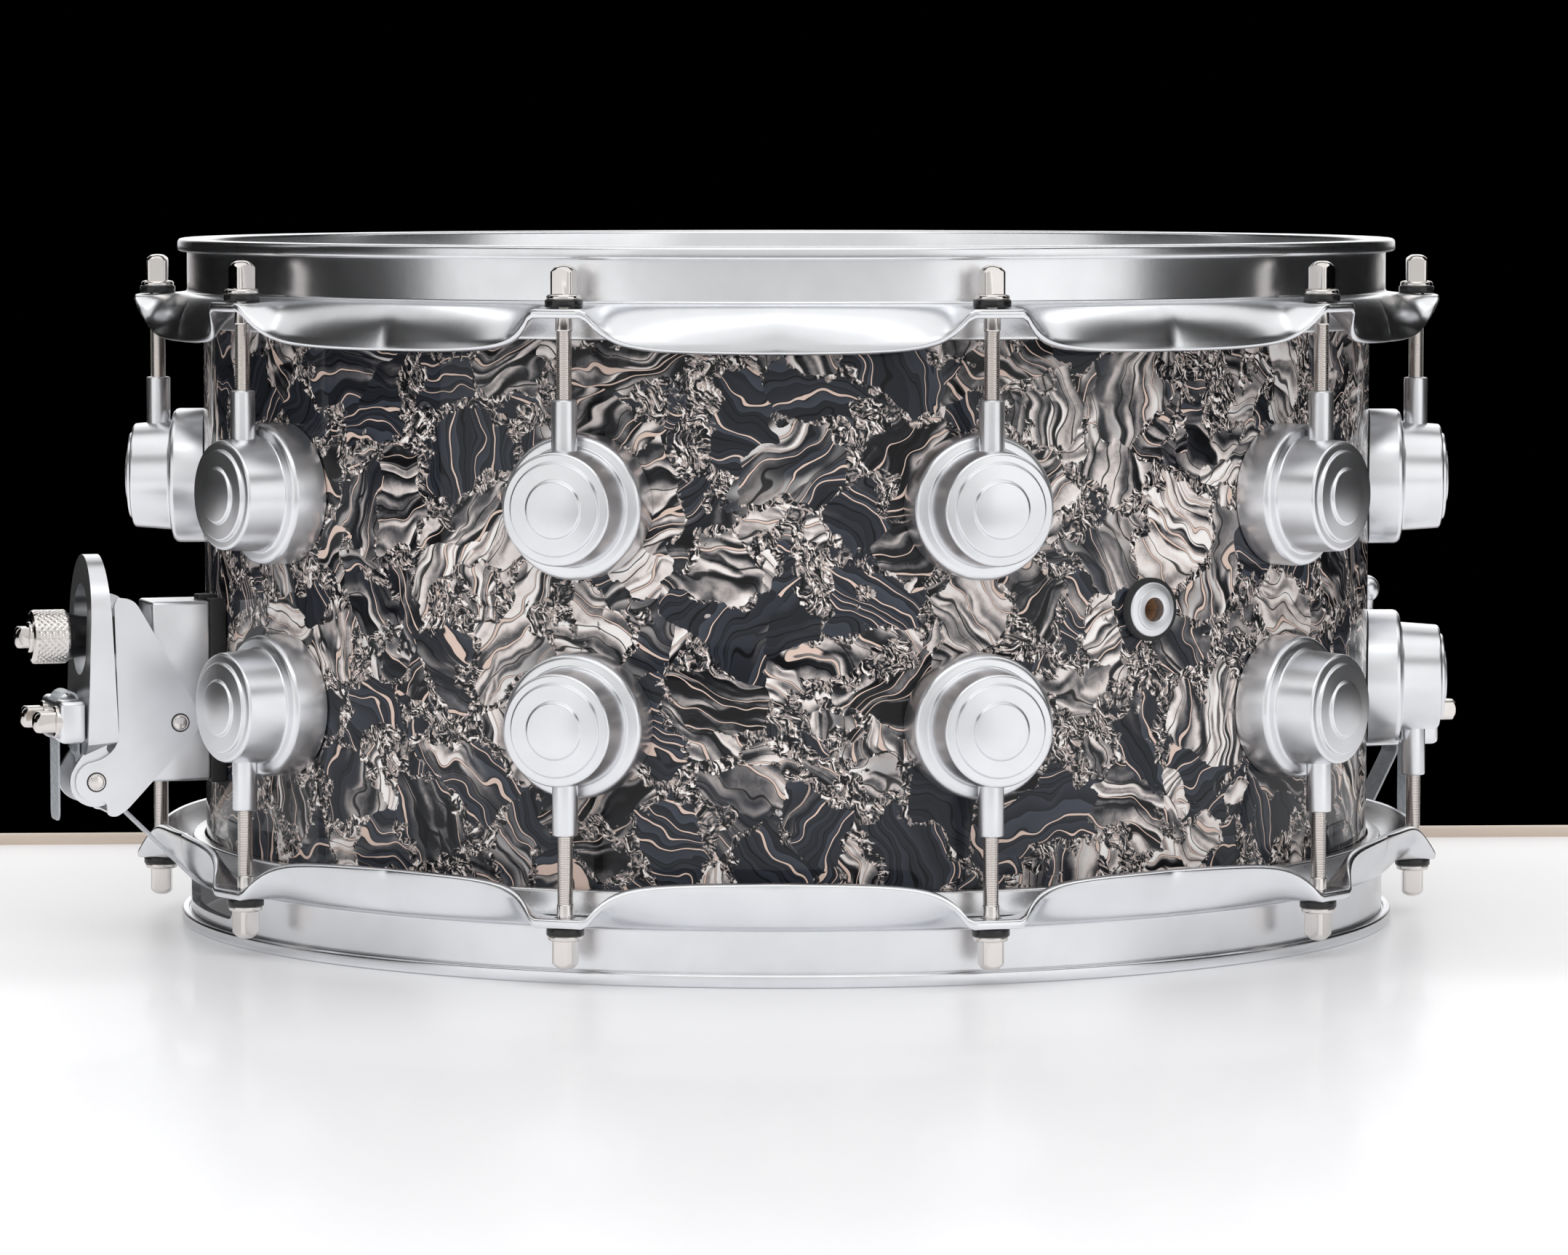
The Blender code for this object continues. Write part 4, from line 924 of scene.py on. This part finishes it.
# ---- throw-off and butt plate -----------------------------------------------------------------------
# Local places on them: U out from the shell's skin, W up from the middle of their base, S across.
BASE_MIDDLE = sum(levels("throw_off_base")) / 2
BASE_OUT = reach("throw_off_base") - SHELL_R
GASKET_U = 4.8


def local(spot):
    """(U, W) of a joint's place."""
    return math.hypot(spot[0], spot[1]) / MM - SHELL_R, spot[2] / MM - BASE_MIDDLE


FRAME_PIN = local(joint("frame_tilt")["pos_m"])
LEVER_PIN = local(joint("lever_swing")["pos_m"])
KNOB_W = local(joint("knob_turn")["pos_m"])[1]
PIN_R = 2.15                      # of the lever's pin
WEB = 28.2, 31.5                  # back and front of the web between the cheeks
WINDOW = KNOB_W - 11.5, KNOB_W + 15.6
LEVER_TOP = WINDOW[1] + 8.6
LEVER_FOOT = LEVER_PIN[1] + 8.0
GUIDE = LEVER_PIN[0] - 7.6, LEVER_PIN[1] - 8.9      # upper back corner of the strap's guide
CLAMP = LEVER_PIN[1] + 11.75, LEVER_PIN[1] + 24.45  # lower and upper end of the lever's strap clamp
BUTT_CLAMP = -26.1, -5.1
SCREW_KEY = 6.2           # across the flats of a fitting's square screws


def fitted(bm, azimuth):
    """Puts a shape made in local places on the drum."""
    return rotated(moved(bm, 0, -SHELL_R, BASE_MIDDLE), azimuth, "Z")


def across(bm):
    """Turns a plate drawn as (U, W) so that its thickness runs along S."""
    return rotated(bm, -90.0, "Z")


def outward(bm, w):
    """Stands a turned shape out from the shell at a height."""
    return moved(facing_out(bm), 0, 0, w)


def cross_bar(bm, spot):
    """Lays a turned shape along S at a (U, W) place."""
    return moved(sideways(bm), 0, -spot[0], spot[1])


def around(centre, offsets):
    """Corners given from a centre, keeping their rounding."""
    return [(centre[0] + o[0], centre[1] + o[1], *o[2:]) for o in offsets]


def arc(centre, radius, start, end, steps):
    turns = (math.radians(start + (end - start) * k / steps) for k in range(steps + 1))
    return [(centre[0] + radius * math.cos(a), centre[1] + radius * math.sin(a)) for a in turns]


def based(half_width, low, high, back, front, edge):
    """A base block whose back follows the shell."""
    bm = block((-half_width, -front, low), (half_width, -back, high))
    bmesh.ops.subdivide_edges(bm, edges=[e for e in bm.edges if abs(e.verts[0].co.x - e.verts[1].co.x) > 1],
                              cuts=7, use_grid_fill=True)
    pressed_on(bm, back, back, SHELL_R)
    return soften(bm, edge, 3) if edge else bm


def fitting_base(name, azimuth, depth, nodes, sizes, top=None, shoulder=0.0, extra=()):
    """A base block on a black gasket; the butt's has a rounded shoulder on top."""
    half, tall = sizes.width / 2, sizes.height / 2
    top = tall if top is None else top
    metal = based(half, -tall, top, GASKET_U, depth, 0.0)
    if shoulder:
        edges = [edge for edge in metal.edges
                 if all(v.co.z > top - 0.1 and v.co.y < 0.1 - depth for v in edge.verts)]
        bevelled(metal, edges, shoulder, 8)
    soften(metal, 1.1, 3)
    gasket = based(half + 0.5, -tall - 0.6, top + 0.6, 0.1, GASKET_U - 0.05, 0.5)
    tab = block((-3.5, -GASKET_U - 2.0, top - 0.5), (3.5, -0.8, top + 1.5), 0.5, 3)
    body = joined(metal, paint(gasket, 1), paint(tab, 1), *extra)
    piece(name, fitted(body, azimuth), ["cast_chrome", "rubber"], "drum", nodes)


def selector_ball(spot, root):
    """Ball on a short neck that stands up from the butt plate."""
    radius, foot = 4.3, root - spot[1]
    ball = [(radius * math.sin(a), radius * math.cos(a)) for a in (math.pi * k / 20 for k in range(1, 17))]
    return moved(turned([(0, radius), *ball, (2.2, foot), (0, foot)], 36), 0, -spot[0], spot[1])


def cheek_corners():
    """(U, W, rounding) outline of the throw-off's cheek."""
    top = (2.4, 10.4, 1.2), (0.9, 11.8, 1.0), (-2.9, 11.3, 1.6), (-4.7, 9.4, 1.2)
    inner = (-4.7, 5.0, 2.0), (-6.0, -1.9, 2.5)
    foot = (-9.2, -8.4, 1.5), (-5.4, -10.8, 1.6), (-3.4, -9.8, 1.0), (-3.2, -6.6, 0.4)
    boss = arc(LEVER_PIN, 6.1, -110, 68, 12)
    scoop = (-1.2, 6.5, 0.8), (-5.4, 8.8, 3.0), (-6.9, 13.2, 3.0)
    return (around((WEB[1], KNOB_W), top) + around(FRAME_PIN, inner) + around(LEVER_PIN, foot) + boss
            + around(LEVER_PIN, scoop))


def make_throw_off_frame(sizes):
    """Two cheeks joined by a web, with a hole for the knob's screw, and by the strap's guide."""
    inner = sizes.width / 2 + 0.3
    outer = inner + sizes.cheek
    cheeks = [across(plate(cheek_corners(), low, high, 0.45))
              for low, high in ((-outer, -inner), (inner, outer))]
    web = block((-inner - 0.2, -WEB[1], KNOB_W - 26.9), (inner + 0.2, -WEB[0], KNOB_W + 8.1), 0.6)
    web = combined(web, outward(bar(2.7, WEB[0] - 2, WEB[1] + 2, 32), KNOB_W))
    guide = around(GUIDE, [(0, 0, 0.4), (3.6, 0, 0.3), (3.2, -1.0, 0.3), (0.6, -1.0, 0.4)])
    guide = across(plate(guide, -inner - 0.2, inner + 0.2))
    piece("throw_off_cheeks", fitted(joined(*cheeks, web, guide), THROW_AZ), ["cast_chrome"], "tilt_frame",
          ["throw_off_frame"])


def make_pins(sizes):
    """Riveted pins, each with a toothed collar on a black disc that is painted shade for the groove round
    it.
    """
    face, teeth = sizes.width / 2 + sizes.cheek + 0.3, 56
    for name, spot, radius, node, body in (("frame_pivot", FRAME_PIN, 2.0, "frame_pin", "drum"),
                                           ("lever_pivot", LEVER_PIN, PIN_R, "lever_pin", "tilt_frame")):
        pin = bar(radius, -face - 0.6, face + 0.6, 40, 0.3, steps=3)
        collar = bar(radius + 0.5, -face - 0.3, face + 0.3, teeth)
        for vert in collar.verts:
            if round(math.degrees(math.atan2(vert.co.y, vert.co.x)) / (360 / teeth)) % 2:
                vert.co.xy *= 0.88
        # black disc just proud of the cheek, with the rubber finish: painted shade for the groove round the
        # collar
        groove_shade = bar(radius + 0.8, -face - 0.12, face + 0.12, 40, 0.1, steps=2)
        whole = joined(pin, collar, paint(groove_shade, 1))
        piece(name, fitted(cross_bar(whole, spot), THROW_AZ), ["nickel", "rubber"], body, [node])


def lever_depth(w, front):
    """U of the lever's front or back at a height; it thickens towards its foot."""
    below = WINDOW[1] - w
    return WEB[1] + 9.9 + 0.032 * below if front else WEB[1] + 4.5 - 0.05 * below


def make_lever(sizes):
    """A rounded plate with an oval window, hollow below it, and two arms to the pin."""
    half, foot, dome = sizes.lever_half, LEVER_FOOT, 20.0
    shoulder = LEVER_TOP - dome
    crown = [(half * math.cos(a), shoulder + dome * math.sin(a))
             for a in (math.pi * k / 24 for k in range(1, 24))]
    outline = [(-half, foot, 5.5), (half, foot, 5.5), (half, shoulder)] + crown + [(-half, shoulder)]
    middle, tall, wide = sum(WINDOW) / 2, (WINDOW[1] - WINDOW[0]) / 2, 9.8
    oval = [(wide * max(-1.0, min(1.0, 1.2 * math.cos(a))), middle + tall * math.sin(a))
            for a in (math.tau * k / 48 for k in range(48))]
    slab = combined(plate(outline, 0.0, 1.0), plate(oval, -1.0, 2.0))
    for vert in slab.verts:
        front = vert.co.y < 0.5
        if not front:
            vert.co.z += 5.0 * max(0.0, 1.0 - (vert.co.z - foot) / 4.0)
        vert.co.y = -lever_depth(vert.co.z, front)
    inner = sizes.width / 2
    gap, front = inner - 2.2, lever_depth(foot, True)
    slab = combined(slab, block((-gap, 2.5 - front, foot - 1.0), (gap, 40.0 - front, WINDOW[0] - 3.5), 0.8))
    root = front - 0.6
    arm = arc(LEVER_PIN, 7.5, -200, 22, 24)
    arm += [(front + 1.9, foot - 2.2, 1.5), (root, foot + 1.0, 1.0), (root, foot + 7.0),
            (lever_depth(foot + 7.0, False) + 1.0, foot + 7.0), (LEVER_PIN[0] - 3.4, LEVER_PIN[1] + 9.6)]
    for low, high in ((-inner, -gap), (gap, inner)):
        slab = combined(slab, across(plate(arm, low, high)), "UNION")
    piece("throw_off_handle", fitted(slab, THROW_AZ), ["cast_chrome"], "lever",
          ["throw_off_lever"], width=1.1)


def strap_clamp(name, azimuth, body, node, back, depth, ends, slot, sizes):
    """A clamp block with a channel and a slot for the strap, and its two key screws."""
    half, gap, (low, high) = sizes.clamp_half, sizes.strap_half + 0.4, ends
    bm = block((-half, -back - depth, low), (half, -back, high), 1.8, 4)
    for outer, inner in ((back + 1.4, back - 1), (slot + 0.7, slot - 0.7)):
        bm = combined(bm, block((-gap, -outer, low - 2), (gap, -inner, high + 2)))
    parts = [bm]
    screw_out = 10.0
    for s in (-screw_out, screw_out):
        seat = turned([(0, -1.0), (4.6, -1.0), (4.6, 0.9, 0.4), (0, 0.9)], 40, steps=3)
        screw = joined(seat, key_head(SCREW_KEY, 0.2, 7.3, 1.8))
        parts.append(moved(facing_out(paint(screw, 1)), s, -back - depth, (low + high) / 2))
    piece(name, fitted(joined(*parts), azimuth), ["cast_chrome", "nickel"], body, [node])


def make_knob(sizes):
    """Diamond-knurled grip on a dark neck, with a square key end and its screw."""
    knob, grip = sizes.knob, lever_depth(KNOB_W, True) + 4.4
    face, neck, end = grip + 10.6, WEB[1] + 0.3, BASE_OUT - 10.0
    profile = [(0, end), (2.4, end, 0.4), (2.4, neck), (5.9, neck, 0.4), (5.9, grip - 4.6, 2.0),
               (knob - 1.0, grip - 0.6, 0.5), (knob - 0.3, grip)]
    profile += [(knob, grip + 0.4 + 0.3 * k) for k in range(31)]
    profile += [(knob - 0.3, face - 0.5), (knob - 1.2, face), (4.6, face), (4.4, face + 0.7, 0.3),
                (0, face + 0.7)]
    bm = turned(profile, 144)
    diamonds, tall, cut = 24, 1.9, 0.4      # of the knurl: number round it, height and depth
    for vert in bm.verts:
        if math.hypot(vert.co.x, vert.co.y) > knob - 0.05:
            turn = math.atan2(vert.co.y, vert.co.x) * diamonds
            climb = vert.co.z * math.tau / tall
            ridge = cut * max(abs(math.sin((turn + climb) / 2)), abs(math.sin((turn - climb) / 2)))
            vert.co.xy *= 1 + (ridge - cut) / knob
    for one in bm.faces:
        one.material_index = 1 if neck - 0.5 < one.calc_center_median().z < grip - 0.2 else 0
    key = moved(key_head(SCREW_KEY, 0.2, 4.8, 1.6), 0, 0, face)
    body = fitted(outward(joined(bm, key), KNOB_W), THROW_AZ)
    piece("tension_grip", body, ["nickel", "nylon"], "knob", ["tension_knob"], sharp=28.0)


def strap(name, path, azimuth, body, node, sizes):
    """A flat strap along rounded (U, W) corners, with rounded ends."""
    half_width = sizes.strap_half
    bm = line(bmesh.new(), path, steps=6)
    pulled = bmesh.ops.extrude_edge_only(bm, edges=bm.edges[:])
    far = [item for item in pulled["geom"] if isinstance(item, bmesh.types.BMVert)]
    moved(bm, 0, -half_width, 0)
    bmesh.ops.translate(bm, verts=far, vec=(0, 2 * half_width, 0))
    ends = [vert for vert in bm.verts if len(vert.link_edges) == 2]
    bevelled(bm, ends, 0.45 * half_width, 4, "VERTICES")
    bmesh.ops.recalc_face_normals(bm, faces=bm.faces)
    bmesh.ops.solidify(bm, geom=bm.faces[:], thickness=sizes.strap)
    bmesh.ops.recalc_face_normals(bm, faces=bm.faces)
    return piece(name, fitted(across(bm), azimuth), ["strap"], body, [node])


STRAP_W = sum(levels("snare_wires")) / 2 - BASE_MIDDLE
WIRE_END = max(Vector(v.co[:2]).dot(Vector(joint("knob_turn")["axis"][:2]))
               for v in frame["nodes"]["snare_wires"].data.vertices) / MM
RIM_U = RIM_WALL_R - SHELL_R
STRAP_START = WIRE_END - 6.0 - SHELL_R


def looped(back, slot, foot, top, tail):
    """Up behind a clamp, over its top and down through its slot."""
    over = arc(((back + slot) / 2, top - 1.0), (slot - back) / 2, 180, 0, 12)
    return [(back, foot), *over, (slot, tail)]


def make_throw_off_straps(sizes):
    """The strap in two pieces that meet at the lever's pin."""
    over_pin = arc(LEVER_PIN, PIN_R + 0.4 + sizes.strap, 165, 50, 14)
    lower = [(STRAP_START, STRAP_W), (RIM_U - 1.0, STRAP_W, 2.0), (RIM_U + 2.0, STRAP_W + 2.0, 2.0),
             (GUIDE[0] - 1.1, GUIDE[1] + 0.5, 1.5), over_pin[0]]
    low, high = CLAMP
    back = lever_depth((low + high) / 2, True) + 0.75
    upper = over_pin + [(back - 1.5, LEVER_FOOT - 1.6, 1.0), (back, LEVER_FOOT - 0.2, 1.0)]
    upper += looped(back, back + 6.5, low - 2.0, high, low - 23.6)
    for name, path, pair, points in (
            ("strap_under_rim", lower, ("drum", "tilt_frame"), ((RIM_U + 3.0, STRAP_W + 3.0), lower[3][:2])),
            ("strap_on_pin", upper, ("tilt_frame", "lever"), (over_pin[0], over_pin[-1]))):
        made = strap(name, path, THROW_AZ, None, "throw_off_strap", sizes)
        turn = Matrix.Rotation(math.radians(THROW_AZ), 3, "Z")
        ends = [turn @ Vector((0, -SHELL_R - u, BASE_MIDDLE + w)) * MM for u, w in points]
        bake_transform(made)


def make_throw_off(sizes):
    fitting_base("throw_off_block", THROW_AZ, BASE_OUT, ["throw_off_base"], sizes)
    make_throw_off_frame(sizes)
    make_pins(sizes)
    make_lever(sizes)
    back = lever_depth(sum(CLAMP) / 2, True) + 0.3
    strap_clamp("lever_strap_clamp", THROW_AZ, "lever", "throw_off_clamp", back, 7.9, CLAMP, back + 6.95,
                sizes)
    make_knob(sizes)
    make_throw_off_straps(sizes)


def make_butt(sizes):
    depth = reach("butt_base") - SHELL_R
    top = 15.5
    fitting_base("butt_block", BUTT_AZ, depth, ["butt_base"], sizes, top, 5.0,
                 [selector_ball((13.9, 22.2), top - 1.0)])
    low, high = BUTT_CLAMP
    back = depth + 0.3
    slot = back + 5.5
    strap_clamp("butt_strap_clamp", BUTT_AZ, "drum", "butt_clamp", back, 11.0, BUTT_CLAMP, slot, sizes)
    behind = back + 0.7
    path = [(STRAP_START, STRAP_W), (RIM_U - 1.0, STRAP_W, 2.0), (RIM_U + 3.0, STRAP_W + 2.0, 2.5),
            (RIM_U + 8.6, STRAP_W + 13.0, 6.0), (behind, low - 3.0, 1.0)]
    path += looped(behind, slot, low, high, low - 23.9)
    strap("butt_end_strap", path, BUTT_AZ, "drum", "butt_strap", sizes)


# ---- snare wires ------------------------------------------------------------------------------------
def make_wires(sizes):
    """Coiled strands soldered between two end plates."""
    strands, spacing = sizes.strands, sizes.spacing
    free, soldered = WIRE_END - 13.5, 1.5      # a strand's half length, and how much the plates hold
    turns = round(2 * free / sizes.pitch)
    steps = 6 * turns
    coil = bmesh.new()
    bmesh.ops.create_circle(coil, segments=4, radius=sizes.wire)
    moved(rotated(coil, 90.0, "X"), sizes.coil, 0, -free)
    rotated(capped(swept(coil, steps, math.tau * turns, 2 * free / steps)), 90.0, "X")
    half = strands * spacing / 2
    rows = [moved(coil.copy(), spacing * (k + 0.5) - half, 0, 0) for k in range(strands)]
    coil.free()
    plates = []
    for side in (-1, 1):
        low, high = sorted((side * (free - soldered), side * WIRE_END))
        plates.append(block((-half, low, -0.4), (half, high, 0.4), 0.15))
    body = moved(joined(*rows, *plates), 0, 0, sum(levels("snare_wires")) / 2)
    piece("snare_strands", rotated(body, THROW_AZ, "Z"), ["nickel"], "drum", ["snare_wires"],
          sharp=60.0)


# ---- stage ------------------------------------------------------------------------------------------
class StageSettings(PropertyGroup):
    table: colour("Table", "White table top", 0.88, 0.88, 0.895)
    table_glow: FloatProperty(name="Table glow", description="White added where the table is seen",
                              default=0.11, min=0.0)
    back: length("Back edge", "Middle of the drum to the table's back edge", 205.0)
    turn: FloatProperty(name="Turn", description="Degrees that the table is turned by", default=3.6)
    glow: FloatProperty(name="Glow", description="Brightness of the light panels", default=1.0, min=0.0)
    fill: FloatProperty(name="Fill", description="Brightness that reaches matt surfaces from around",
                        default=0.35, min=0.0)
    focal: FloatProperty(name="Focal length", description="Lens of the camera in millimetres",
                         default=148.7, min=20.0)


def make_table(stage):
    """A glossy white table top with a pale edge strip; it stays white in reflections."""
    foot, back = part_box("snare_hoop")[0].z / MM, stage.back / MM
    half, front, under = 1300.0, -820.0, foot - 30.0
    top = Finish("table_top", tuple(stage.table), 0.3, Coat_Weight=0.12, Coat_Roughness=0.08,
                 Specular_IOR_Level=0.25, Emission_Strength=stage.table_glow)
    top.set("Roughness", 0.30 + 0.1 * top.noise(top.place(), 3.0, 3.0))
    camera, glossy, through = (top.node("LightPath", output=k) for k in (0, 3, 6))
    seen = top.maths("ADD", camera + glossy, through, use_clamp=True)
    top.set("Emission Color", top.mix(seen, (0.0, 0.0, 0.0, 1.0), (*stage.table, 1.0)))
    strip_finish = Finish("table_edge", shades("beech"), 0.55, Emission_Strength=stage.table_glow)
    along = strip_finish.node("Mapping", Vector=strip_finish.place(), Scale=(1.0, 30.0, 30.0))
    fibre = strip_finish.mix(strip_finish.noise(along, 8.0, 4.0), rgba("beech", 0.8), rgba("beech", 1.1))
    strip_finish.set("Base Color", fibre)
    strip_finish.set("Emission Color", fibre)
    MADE.update(table=top.material, beech=strip_finish.material)
    for name, bm, finish in (
            ("table_top", block((-half, front, under), (half, back, foot), 1.5, 3), "table"),
            ("table_edge_strip", block((-half, back, under), (half, back + 4.0, foot + 3.5), 1.0, 3),
             "beech")):
        made = piece(name, rotated(bm, stage.turn, "Z"), [finish], None)


CAMERA_PLACE = (0.0250, -1.9778, 0.0403)
CAMERA_DOWN, CAMERA_TURN = 4.216, 0.744      # degrees below level, and to the left
PANELS = (
    # name, azimuth, distance, width, height, middle's height, brightness
    ("front_panel", 0.0, 2.7, 3.2, 1.6, 0.45, 0.72),
    ("front_left", -48.0, 2.7, 1.9, 1.6, 0.45, 0.94),
    ("front_right", 48.0, 2.7, 1.9, 1.6, 0.45, 1.1),
    ("high_front", 0.0, 1.9, 2.6, 1.5, 1.75, 1.0),
    ("side_left", -104.0, 2.4, 0.16, 1.2, 0.95, 1.6),
    ("side_right", 104.0, 2.4, 0.16, 1.2, 0.95, 1.6),
    ("high_left", -100.0, 1.7, 1.4, 1.1, 1.80, 0.8),
    ("high_right", 100.0, 1.7, 1.4, 1.1, 1.80, 1.0),
    ("back_panel", 180.0, 2.7, 2.4, 1.6, 0.75, 1.3),
    ("high_back", 180.0, 1.9, 2.6, 1.5, 1.75, 1.0),
)


def soft_light(name, place, aim, width, height, glow):
    """A panel whose surface glows evenly; a camera doesn't see it, but gloss does."""
    data = bpy.data.lights.new(name, "AREA")
    data.shape = "RECTANGLE"
    data.size, data.size_y = width, height
    data.energy = glow * math.pi * width * height
    lamp = bpy.data.objects.new(name, data)
    lamp.location = place
    lamp.rotation_euler = (Vector(aim) - Vector(place)).to_track_quat("-Z", "Y").to_euler()
    lamp.visible_camera = False
    bpy.context.scene.collection.objects.link(lamp)


def make_lights(stage):
    for name, azimuth, distance, width, height, level, glow in PANELS:
        turn = math.radians(azimuth)
        place = (distance * math.sin(turn), -distance * math.cos(turn), level)
        soft_light(name, place, (0.0, 0.0, min(level - 0.2, 0.4)), width, height, glow * stage.glow)
    soft_light("over_head", (0.0, -0.5, 2.0), (0.0, -0.1, 0.0), 3.2, 2.4, 1.05 * stage.glow)


def make_world(stage):
    """Grey surroundings for matt surfaces, black for the camera and in reflections."""
    world = bpy.data.worlds.new("studio")
    bpy.context.scene.world = world
    world.use_nodes = True
    nodes, links = world.node_tree.nodes, world.node_tree.links
    grey, black = nodes["Background"], nodes.new("ShaderNodeBackground")
    grey.inputs["Color"].default_value = (stage.fill, stage.fill, stage.fill, 1.0)
    black.inputs["Color"].default_value = (0.0, 0.0, 0.0, 1.0)
    rays, mixed = nodes.new("ShaderNodeLightPath"), nodes.new("ShaderNodeMixShader")
    seen = rays.outputs["Is Camera Ray"]
    for kind in ("Is Glossy Ray", "Is Transmission Ray"):
        either = nodes.new("ShaderNodeMath")
        either.operation = "MAXIMUM"
        links.new(seen, either.inputs[0])
        links.new(rays.outputs[kind], either.inputs[1])
        seen = either.outputs[0]
    for source, socket in zip((seen, grey.outputs[0], black.outputs[0]), mixed.inputs):
        links.new(source, socket)
    links.new(mixed.outputs[0], nodes["World Output"].inputs["Surface"])


def make_camera(stage):
    data = bpy.data.cameras.new("camera")
    data.lens = stage.focal
    data.sensor_width = 36.0
    data.dof.use_dof = False
    camera = bpy.data.objects.new("camera", data)
    camera.location = CAMERA_PLACE
    camera.rotation_euler = (math.radians(90.0 - CAMERA_DOWN), 0.0, math.radians(CAMERA_TURN))
    bpy.context.scene.collection.objects.link(camera)
    bpy.context.scene.camera = camera
    bpy.context.scene.view_settings.view_transform = "Standard"


# ---- operators --------------------------------------------------------------------------------------
class DRUM_OT_shell(Operator):
    """Make the wrapped shell and its air vent"""
    bl_idname = "drum.shell"
    bl_label = "Shell"

    def execute(self, context):
        sizes = Millimetres(context.scene.drum_shell)
        make_shell(sizes)
        make_vent(sizes)
        return {"FINISHED"}


class DRUM_OT_heads(Operator):
    """Make both drum heads and their flesh hoops"""
    bl_idname = "drum.heads"
    bl_label = "Heads"

    def execute(self, context):
        sizes = Millimetres(context.scene.drum_heads)
        for label, side in SIDES:
            make_head(label, side, sizes)
            make_flesh_hoop(label, side, sizes)
        return {"FINISHED"}


class DRUM_OT_hoops(Operator):
    """Make both rims, the lower one with its two snare gates"""
    bl_idname = "drum.hoops"
    bl_label = "Hoops"

    def execute(self, context):
        sizes = Millimetres(context.scene.drum_hoops)
        make_hoop("batter", 1, sizes)
        make_hoop("snare", -1, sizes, (THROW_AZ, BUTT_AZ))
        return {"FINISHED"}


class DRUM_OT_lugs(Operator):
    """Make the twenty lugs"""
    bl_idname = "drum.lugs"
    bl_label = "Lugs"

    def execute(self, context):
        make_lugs(Millimetres(context.scene.drum_lugs))
        return {"FINISHED"}


class DRUM_OT_rods(Operator):
    """Make the twenty tension rods with their washers"""
    bl_idname = "drum.rods"
    bl_label = "Tension Rods"

    def execute(self, context):
        make_rods(Millimetres(context.scene.drum_rods))
        return {"FINISHED"}


class DRUM_OT_throw_off(Operator):
    """Make the throw-off with its lever, knob, clamp and strap"""
    bl_idname = "drum.throw_off"
    bl_label = "Throw-off"

    def execute(self, context):
        make_throw_off(Millimetres(context.scene.drum_fittings))
        return {"FINISHED"}


class DRUM_OT_butt(Operator):
    """Make the butt plate with its clamp and strap"""
    bl_idname = "drum.butt"
    bl_label = "Butt Plate"

    def execute(self, context):
        make_butt(Millimetres(context.scene.drum_fittings))
        return {"FINISHED"}


class DRUM_OT_snares(Operator):
    """Make the snare wires"""
    bl_idname = "drum.snares"
    bl_label = "Snare Wires"

    def execute(self, context):
        make_wires(Millimetres(context.scene.drum_snares))
        return {"FINISHED"}


class DRUM_OT_stage(Operator):
    """Make the table, the lights, the surroundings and the camera"""
    bl_idname = "drum.stage"
    bl_label = "Stage"

    def execute(self, context):
        stage = context.scene.drum_stage
        make_table(stage)
        make_lights(stage)
        make_world(stage)
        make_camera(stage)
        return {"FINISHED"}


OPERATORS = (DRUM_OT_stage, DRUM_OT_shell, DRUM_OT_heads, DRUM_OT_hoops, DRUM_OT_lugs, DRUM_OT_rods,
             DRUM_OT_throw_off, DRUM_OT_butt, DRUM_OT_snares)


class DRUM_PT_pieces(Panel):
    bl_idname = "DRUM_PT_pieces"
    bl_label = "Snare Drum"
    bl_space_type = "VIEW_3D"
    bl_region_type = "UI"
    bl_category = "Drum"

    def draw(self, context):
        for operator in OPERATORS:
            self.layout.operator(operator.bl_idname)
        for name in GROUPS:
            box = self.layout.box()
            group = getattr(context.scene, name)
            for prop in group.__annotations__:
                box.prop(group, prop)


GROUPS = {"drum_shell": ShellSizes, "drum_heads": HeadSizes, "drum_hoops": HoopSizes, "drum_lugs": LugSizes,
          "drum_rods": RodSizes, "drum_fittings": FittingSizes, "drum_snares": SnareSizes,
          "drum_colours": Colours, "drum_stage": StageSettings}


def register():
    for made in (*GROUPS.values(), *OPERATORS, DRUM_PT_pieces):
        bpy.utils.register_class(made)
    for name, group in GROUPS.items():
        setattr(bpy.types.Scene, name, PointerProperty(type=group))


def unregister():
    for name in GROUPS:
        delattr(bpy.types.Scene, name)
    for made in reversed((*GROUPS.values(), *OPERATORS, DRUM_PT_pieces)):
        bpy.utils.unregister_class(made)


def main():
    register()
    for operator in OPERATORS:
        group, name = operator.bl_idname.split(".")
        getattr(getattr(bpy.ops, group), name)()


if __name__ == "__main__":
    main()
